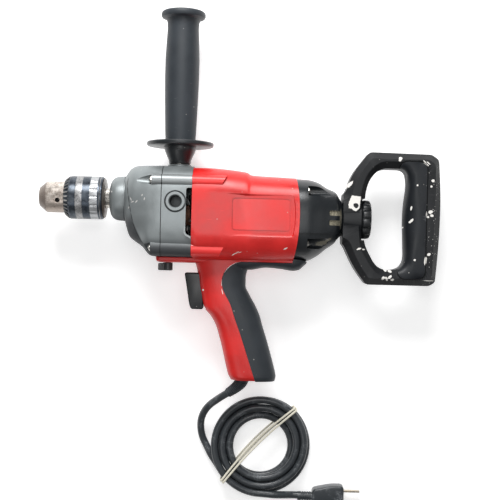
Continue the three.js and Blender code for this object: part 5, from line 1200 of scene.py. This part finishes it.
def slab_section(near, far, half, radius, steps):
    """A rectangle with rounded corners, as (reach, z) pairs."""
    radius = min(radius, (far - near) * 0.45)
    out = []
    for corner, (reach, z) in enumerate(((far, half), (near, half), (near, -half), (far, -half))):
        centre = (reach - radius if reach == far else reach + radius, z - radius if z > 0 else z + radius)
        for t in np.linspace(0, math.pi / 2, steps + 1):
            turn = corner * math.pi / 2 + t
            out.append((centre[0] + radius * math.cos(turn), centre[1] + radius * math.sin(turn)))
    return out


def handle_loop(name, corner, steps):
    """The whole D, with the corners of its section rounded by a radius in some steps."""
    outer, inner = handle_outline(D_OUTER), handle_outline(D_INNER)
    centre = (D_HANDLE["start"] + D_HANDLE["length"] * D_HANDLE["middle"], -MOTOR_DROP)
    rings = []
    for k in range(D_HANDLE["steps"]):
        turn = 2 * math.pi * k / D_HANDLE["steps"]
        near, far = reach_along(inner, centre, turn), reach_along(outer, centre, turn)
        rings.append([(centre[0] + reach * math.cos(turn), centre[1] + reach * math.sin(turn), z)
                      for reach, z in slab_section(near, far, D_HANDLE["half"], corner, steps)])
    return rings_piece(name, rings, loop=True)


# %% D-handle and sleeve
start, hub_end = D_HANDLE["start"], D_HANDLE["hub_end"]
handle = handle_loop("d_handle", 7, 1)
join(handle, turned("hub", [*shifted(start, [(0, 0), (0, 18.4), (0.8, 19.2)]),
                            *shifted(hub_end, [(-0.8, 19.2), (0, 18.4), (0, 0)])], (-MOTOR_DROP, 0)))
cut(handle, region(x=(0, start)), region(x=(hub_end, 185.3), y=(-37.2, 6.2)),
    rod("stud_bore", (150, 192), 6.4, (-MOTOR_DROP, 0)))
sleeve_outline = rectangle((213.5, 241), (-76, 45), 9, steps=8)
groove_outline = rectangle((212.3, 242.2), (-77.2, 46.2), 10, steps=8)
sleeve = common(handle_loop("soft_sleeve", 17, 10), prism("sleeve_region", sleeve_outline))
cut(handle, prism("sleeve_region", sleeve_outline), prism("groove_region", groove_outline, 15.6, FAR),
    prism("groove_region", groove_outline, -FAR, -15.6))
bevel(handle, 0.8, degrees=25)
bevel(sleeve, 0.9, 3)
dress(handle, painted_plastic, "d_handle", "black_plastic", "rear_handle")
dress(sleeve, painted_rubber, "d_handle", "black_rubber", "rear_handle_grip")

# %% Clamp knob
KNOB_START, KNOB_END = D_HANDLE["hub_end"] + GAP, 184.9


def scallops(along, turn):
    """Twelve hollows, which run out towards both faces."""
    edge = min(along - KNOB_START, KNOB_END - along)
    return -1.6 * abs(math.cos(turn * 6)) ** 6 * min(1, edge / 1.2)


knob = turned("clamp_knob_form", [
    *shifted(KNOB_START, [(0, 5.9), (0, 17.5), (0.5, 19), (1.6, 20.3), (3, 20.5)]),
    *shifted(KNOB_END, [(-3, 20.5), (-1.2, 19.6), (0, 17.4), (0, 5.9)])],
    (-MOTOR_DROP, 0), steps=96, wave=scallops)
dress(knob, black_plastic, "clamp_knob", "black_plastic", "rear_handle_knob")

# %% [markdown]
# ## Side handle
#
# It screws into the boss on top of the gear case: a cone, a wide round guard and a soft grip.

# %% Side handle
side_base = turned("side_handle_base", [
    (37.7, 6.2), (37.7, 10.6), (38.3, 11.2), (42, 11.9), (50, 15.4), (53.5, 16.6), (56, 16.6), (56, 33.6),
    (56.5, 34.6), (57.6, 35), (59.4, 35), (60.3, 34.4), (60.6, 33), (61.2, 16.4), (61.7, 15.8), (61.7, 9),
    (64, 9), (64, 6.2)], (0, TOP_X), "y", steps=96)
dress(side_base, cap_plastic, "side_grip", "black_plastic", "side_handle")
side_grip = turned("side_handle_sleeve", [
    (198, 0), (198, 19), (197.5, 21), (196.4, 22.6), (194.8, 23.2), (192.6, 23.2), (191, 22.2),
    (189.4, 18.2), (186.4, 16.8), (180, 16.4), (165, 17.1), (147, 17.9), (128, 17.9), (110, 17.5), (90, 16.9),
    (70, 16.2), (66, 15.9), (62.4, 15.8), (62, 15.4), (62, 9.3), (192, 9.3), (192, 0)], (0, TOP_X), "y",
    steps=96)
dress(side_grip, soft_rubber, "side_grip", "black_rubber", "side_handle_grip")

# %% [markdown]
# ## Keyed chuck
#
# The body's nose carries the key holes and the jaws' bores, and the sleeve the key's teeth.

# %% Chuck body
CHUCK_TIP = edge_of("chuck_body", 0, high=False)
CHUCK_REAR = edge_of("chuck_body", 0)
FIRST_JAW = 44
TEETH = 30
FACETS = 16


def key_cutter(low, high, radius, turn):
    """A hole square to the chuck's axis, at a turn in degrees from the drill's top."""
    tool = rod("hole", (low, high), radius, steps=32)
    turn = math.radians(turn)
    for vertex in tool.data.vertices:
        out, aside, along = Vector(vertex.co) / MM - ORIGIN
        vertex.co = place(KEY_HOLE["x"] + along, out * math.cos(turn) - aside * math.sin(turn),
                          out * math.sin(turn) + aside * math.cos(turn))
    return tool


# Behind its nose the body has a black ring, and then a cone.
chuck_body = turned("chuck_body_form", [
    *shifted(CHUCK_TIP, [(0, 6.7), (0, 10.2), (0.4, 10.6), (7, 16), (7.8, NOSE_RADIUS)]),
    *shifted(RING_REAR, [(0.3, NOSE_RADIUS), (0.3, 20.6), (0.8, 20.9), (1.3, 20.2), (1.6, 16), (2, 15.6)]),
    (CHUCK_REAR, 10.8), (CHUCK_REAR, 6.7)], steps=96)
# The key holes lie between the jaws.
for turn in (60, 180, 300):
    cut(chuck_body, key_cutter(9.5, 22, KEY_HOLE["radius"], FIRST_JAW + turn),
        key_cutter(15.8, 22, KEY_HOLE["rim"], FIRST_JAW + turn))
bevel(chuck_body, 0.25)
dress(chuck_body, chuck_steel, "spindle_and_chuck", "bright_steel", "chuck_body")


# %% Chuck sleeve
def flutes(along, turn):
    """Teeth on the front ring, and flat facets on the rear band."""
    if along < RING_FRONT + 5.2:
        return -1.5 * (0.5 + 0.5 * math.cos(turn * TEETH)) ** 0.6
    if BANDS[1][0] < along < BANDS[1][1]:
        return -0.8 * abs(math.cos(turn * FACETS / 2)) ** 12
    return 0.0


sleeve_profile = shifted(RING_FRONT, [(0, 16.8), (0, 18.2), (0.4, 19), (4.4, 22), (5, 22.2), (5.5, 21.8),
                                      (6.3, 22.4), (7.5, 22.5)])
for low, high in BANDS:
    sleeve_profile += shifted(low, [(-1.2, 22.5), (-0.1, 22.5), (0.4, 22.6)])
    sleeve_profile += shifted(high, [(-0.4, 22.6), (0.1, 22.5), (1.2, 22.5)])
sleeve_profile += shifted(RING_REAR, [(-2.8, 22.5), (-2.4, 22.2), (-2, 22.4), (-0.8, 22.1), (0, 21.2),
                                      (0, 17)])
chuck_sleeve = turned("chuck_sleeve_form", sleeve_profile, steps=240, wave=flutes)
dress(chuck_sleeve, sleeve_steel, "sleeve", "dark_steel", "chuck_sleeve")

# %% [markdown]
# ## Trigger and direction lever

# %% Trigger and lever
LEVER_AXIS = (0, -25.6)

trigger = prism("trigger_form", rounded([
    (12.7, -75.6, 2.4), (-7.7, -75.6, 2.4), (-4.6, -92.6, 14), (-2.2, -107.6, 8), (-0.1, -113.6, 2.6),
    (12.7, -113.6, 2.4)]), -8, 8)
bevel(trigger, 1.8, 3)
dress(trigger, black_plastic, "trigger_button", "black_plastic", "trigger")
lever = turned("lever_hub", [(-74, 0), (-74, 4.4), (-73.4, 5), (-65.8, 5), (-65.8, 0)], LEVER_AXIS, "y")
join(lever, rod("lever_pin", (-65.8, -61), 3, LEVER_AXIS, "y"),
     block("lever_blade", (-35.6, -25.6), (-74, -66.4), (-3.6, 3.6), 1.4))
bevel(lever, 0.6)
dress(lever, black_plastic, "reversing_lever", "black_plastic", "direction_lever")

# %% [markdown]
# ## The solids that stay
#
# Screws, gears, bearings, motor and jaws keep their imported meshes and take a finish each.

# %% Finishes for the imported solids
FINISHES = {
    zinc: ("gear_case_screw", "end_cap_screw", "housing_screw"),
    bright_steel: ("first_shaft", "second_shaft", "spindle", "chuck_nut", "armature_shaft", "rear_bearing",
                   "rear_handle_stud", "side_handle_stud"),
    dark_steel: ("jaw",),
    copper: ("commutator", "field_coil"),
    iron: ("armature_core", "stator_core"),
    carbon: ("brush_left", "brush_right"),
    brass: ("brush_holder", "plug_blade"),
    inner_dark: ("fan", "switch_module"),
    window_dust: ("gear_plate", "front_bearing"),
}
for material, starts in FINISHES.items():
    for name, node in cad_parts.items():
        if name.startswith(starts):
            node.data.materials.clear()
            node.data.materials.append(material)

# %% [markdown]
# ## Floor and light
#
# A near-white floor, as in the photograph's cut-out ground, and four lights: a strong low one from
# the side handle's end, a wide soft one overhead, a weak one from the right and a small one over
# the grip.

# %% Floor and lights
WORLD_LIGHT = 0.22

floor = block("floor", (-1200, 1300), (-1300, 1200), (TABLE_Z - 10, TABLE_Z - 0.1))
floor.data.materials.append(floor_white)


def area_light(name, spot, size, power, aim=(60, -60, 0)):
    """A lamp over a spot of the drawing, turned towards its aim."""
    data = bpy.data.lights.new(name, "AREA")
    data.shape = "RECTANGLE"
    data.size, data.size_y = (value * MM for value in size)
    data.energy = power
    light = link(name, data)
    light.location = place(*spot)
    light.rotation_euler = (place(*aim) - place(*spot)).to_track_quat("-Z", "Y").to_euler()


area_light("key", (-60, 760, 620), (620, 360), 12)
area_light("overhead", (60, 40, 1000), (500, 500), 2.7)
area_light("right_fill", (820, -60, 520), (400, 400), 0.3)
area_light("grip_fill", (-330, -480, 720), (300, 300), 0.7, aim=(40, -140, 0))
world = bpy.data.worlds.new("studio")
bpy.context.scene.world = world
world.use_nodes = True
background = world.node_tree.nodes["Background"]
background.inputs["Color"].default_value = (1, 1, 1, 1)
background.inputs["Strength"].default_value = WORLD_LIGHT
bpy.context.scene.view_settings.view_transform = "Standard"
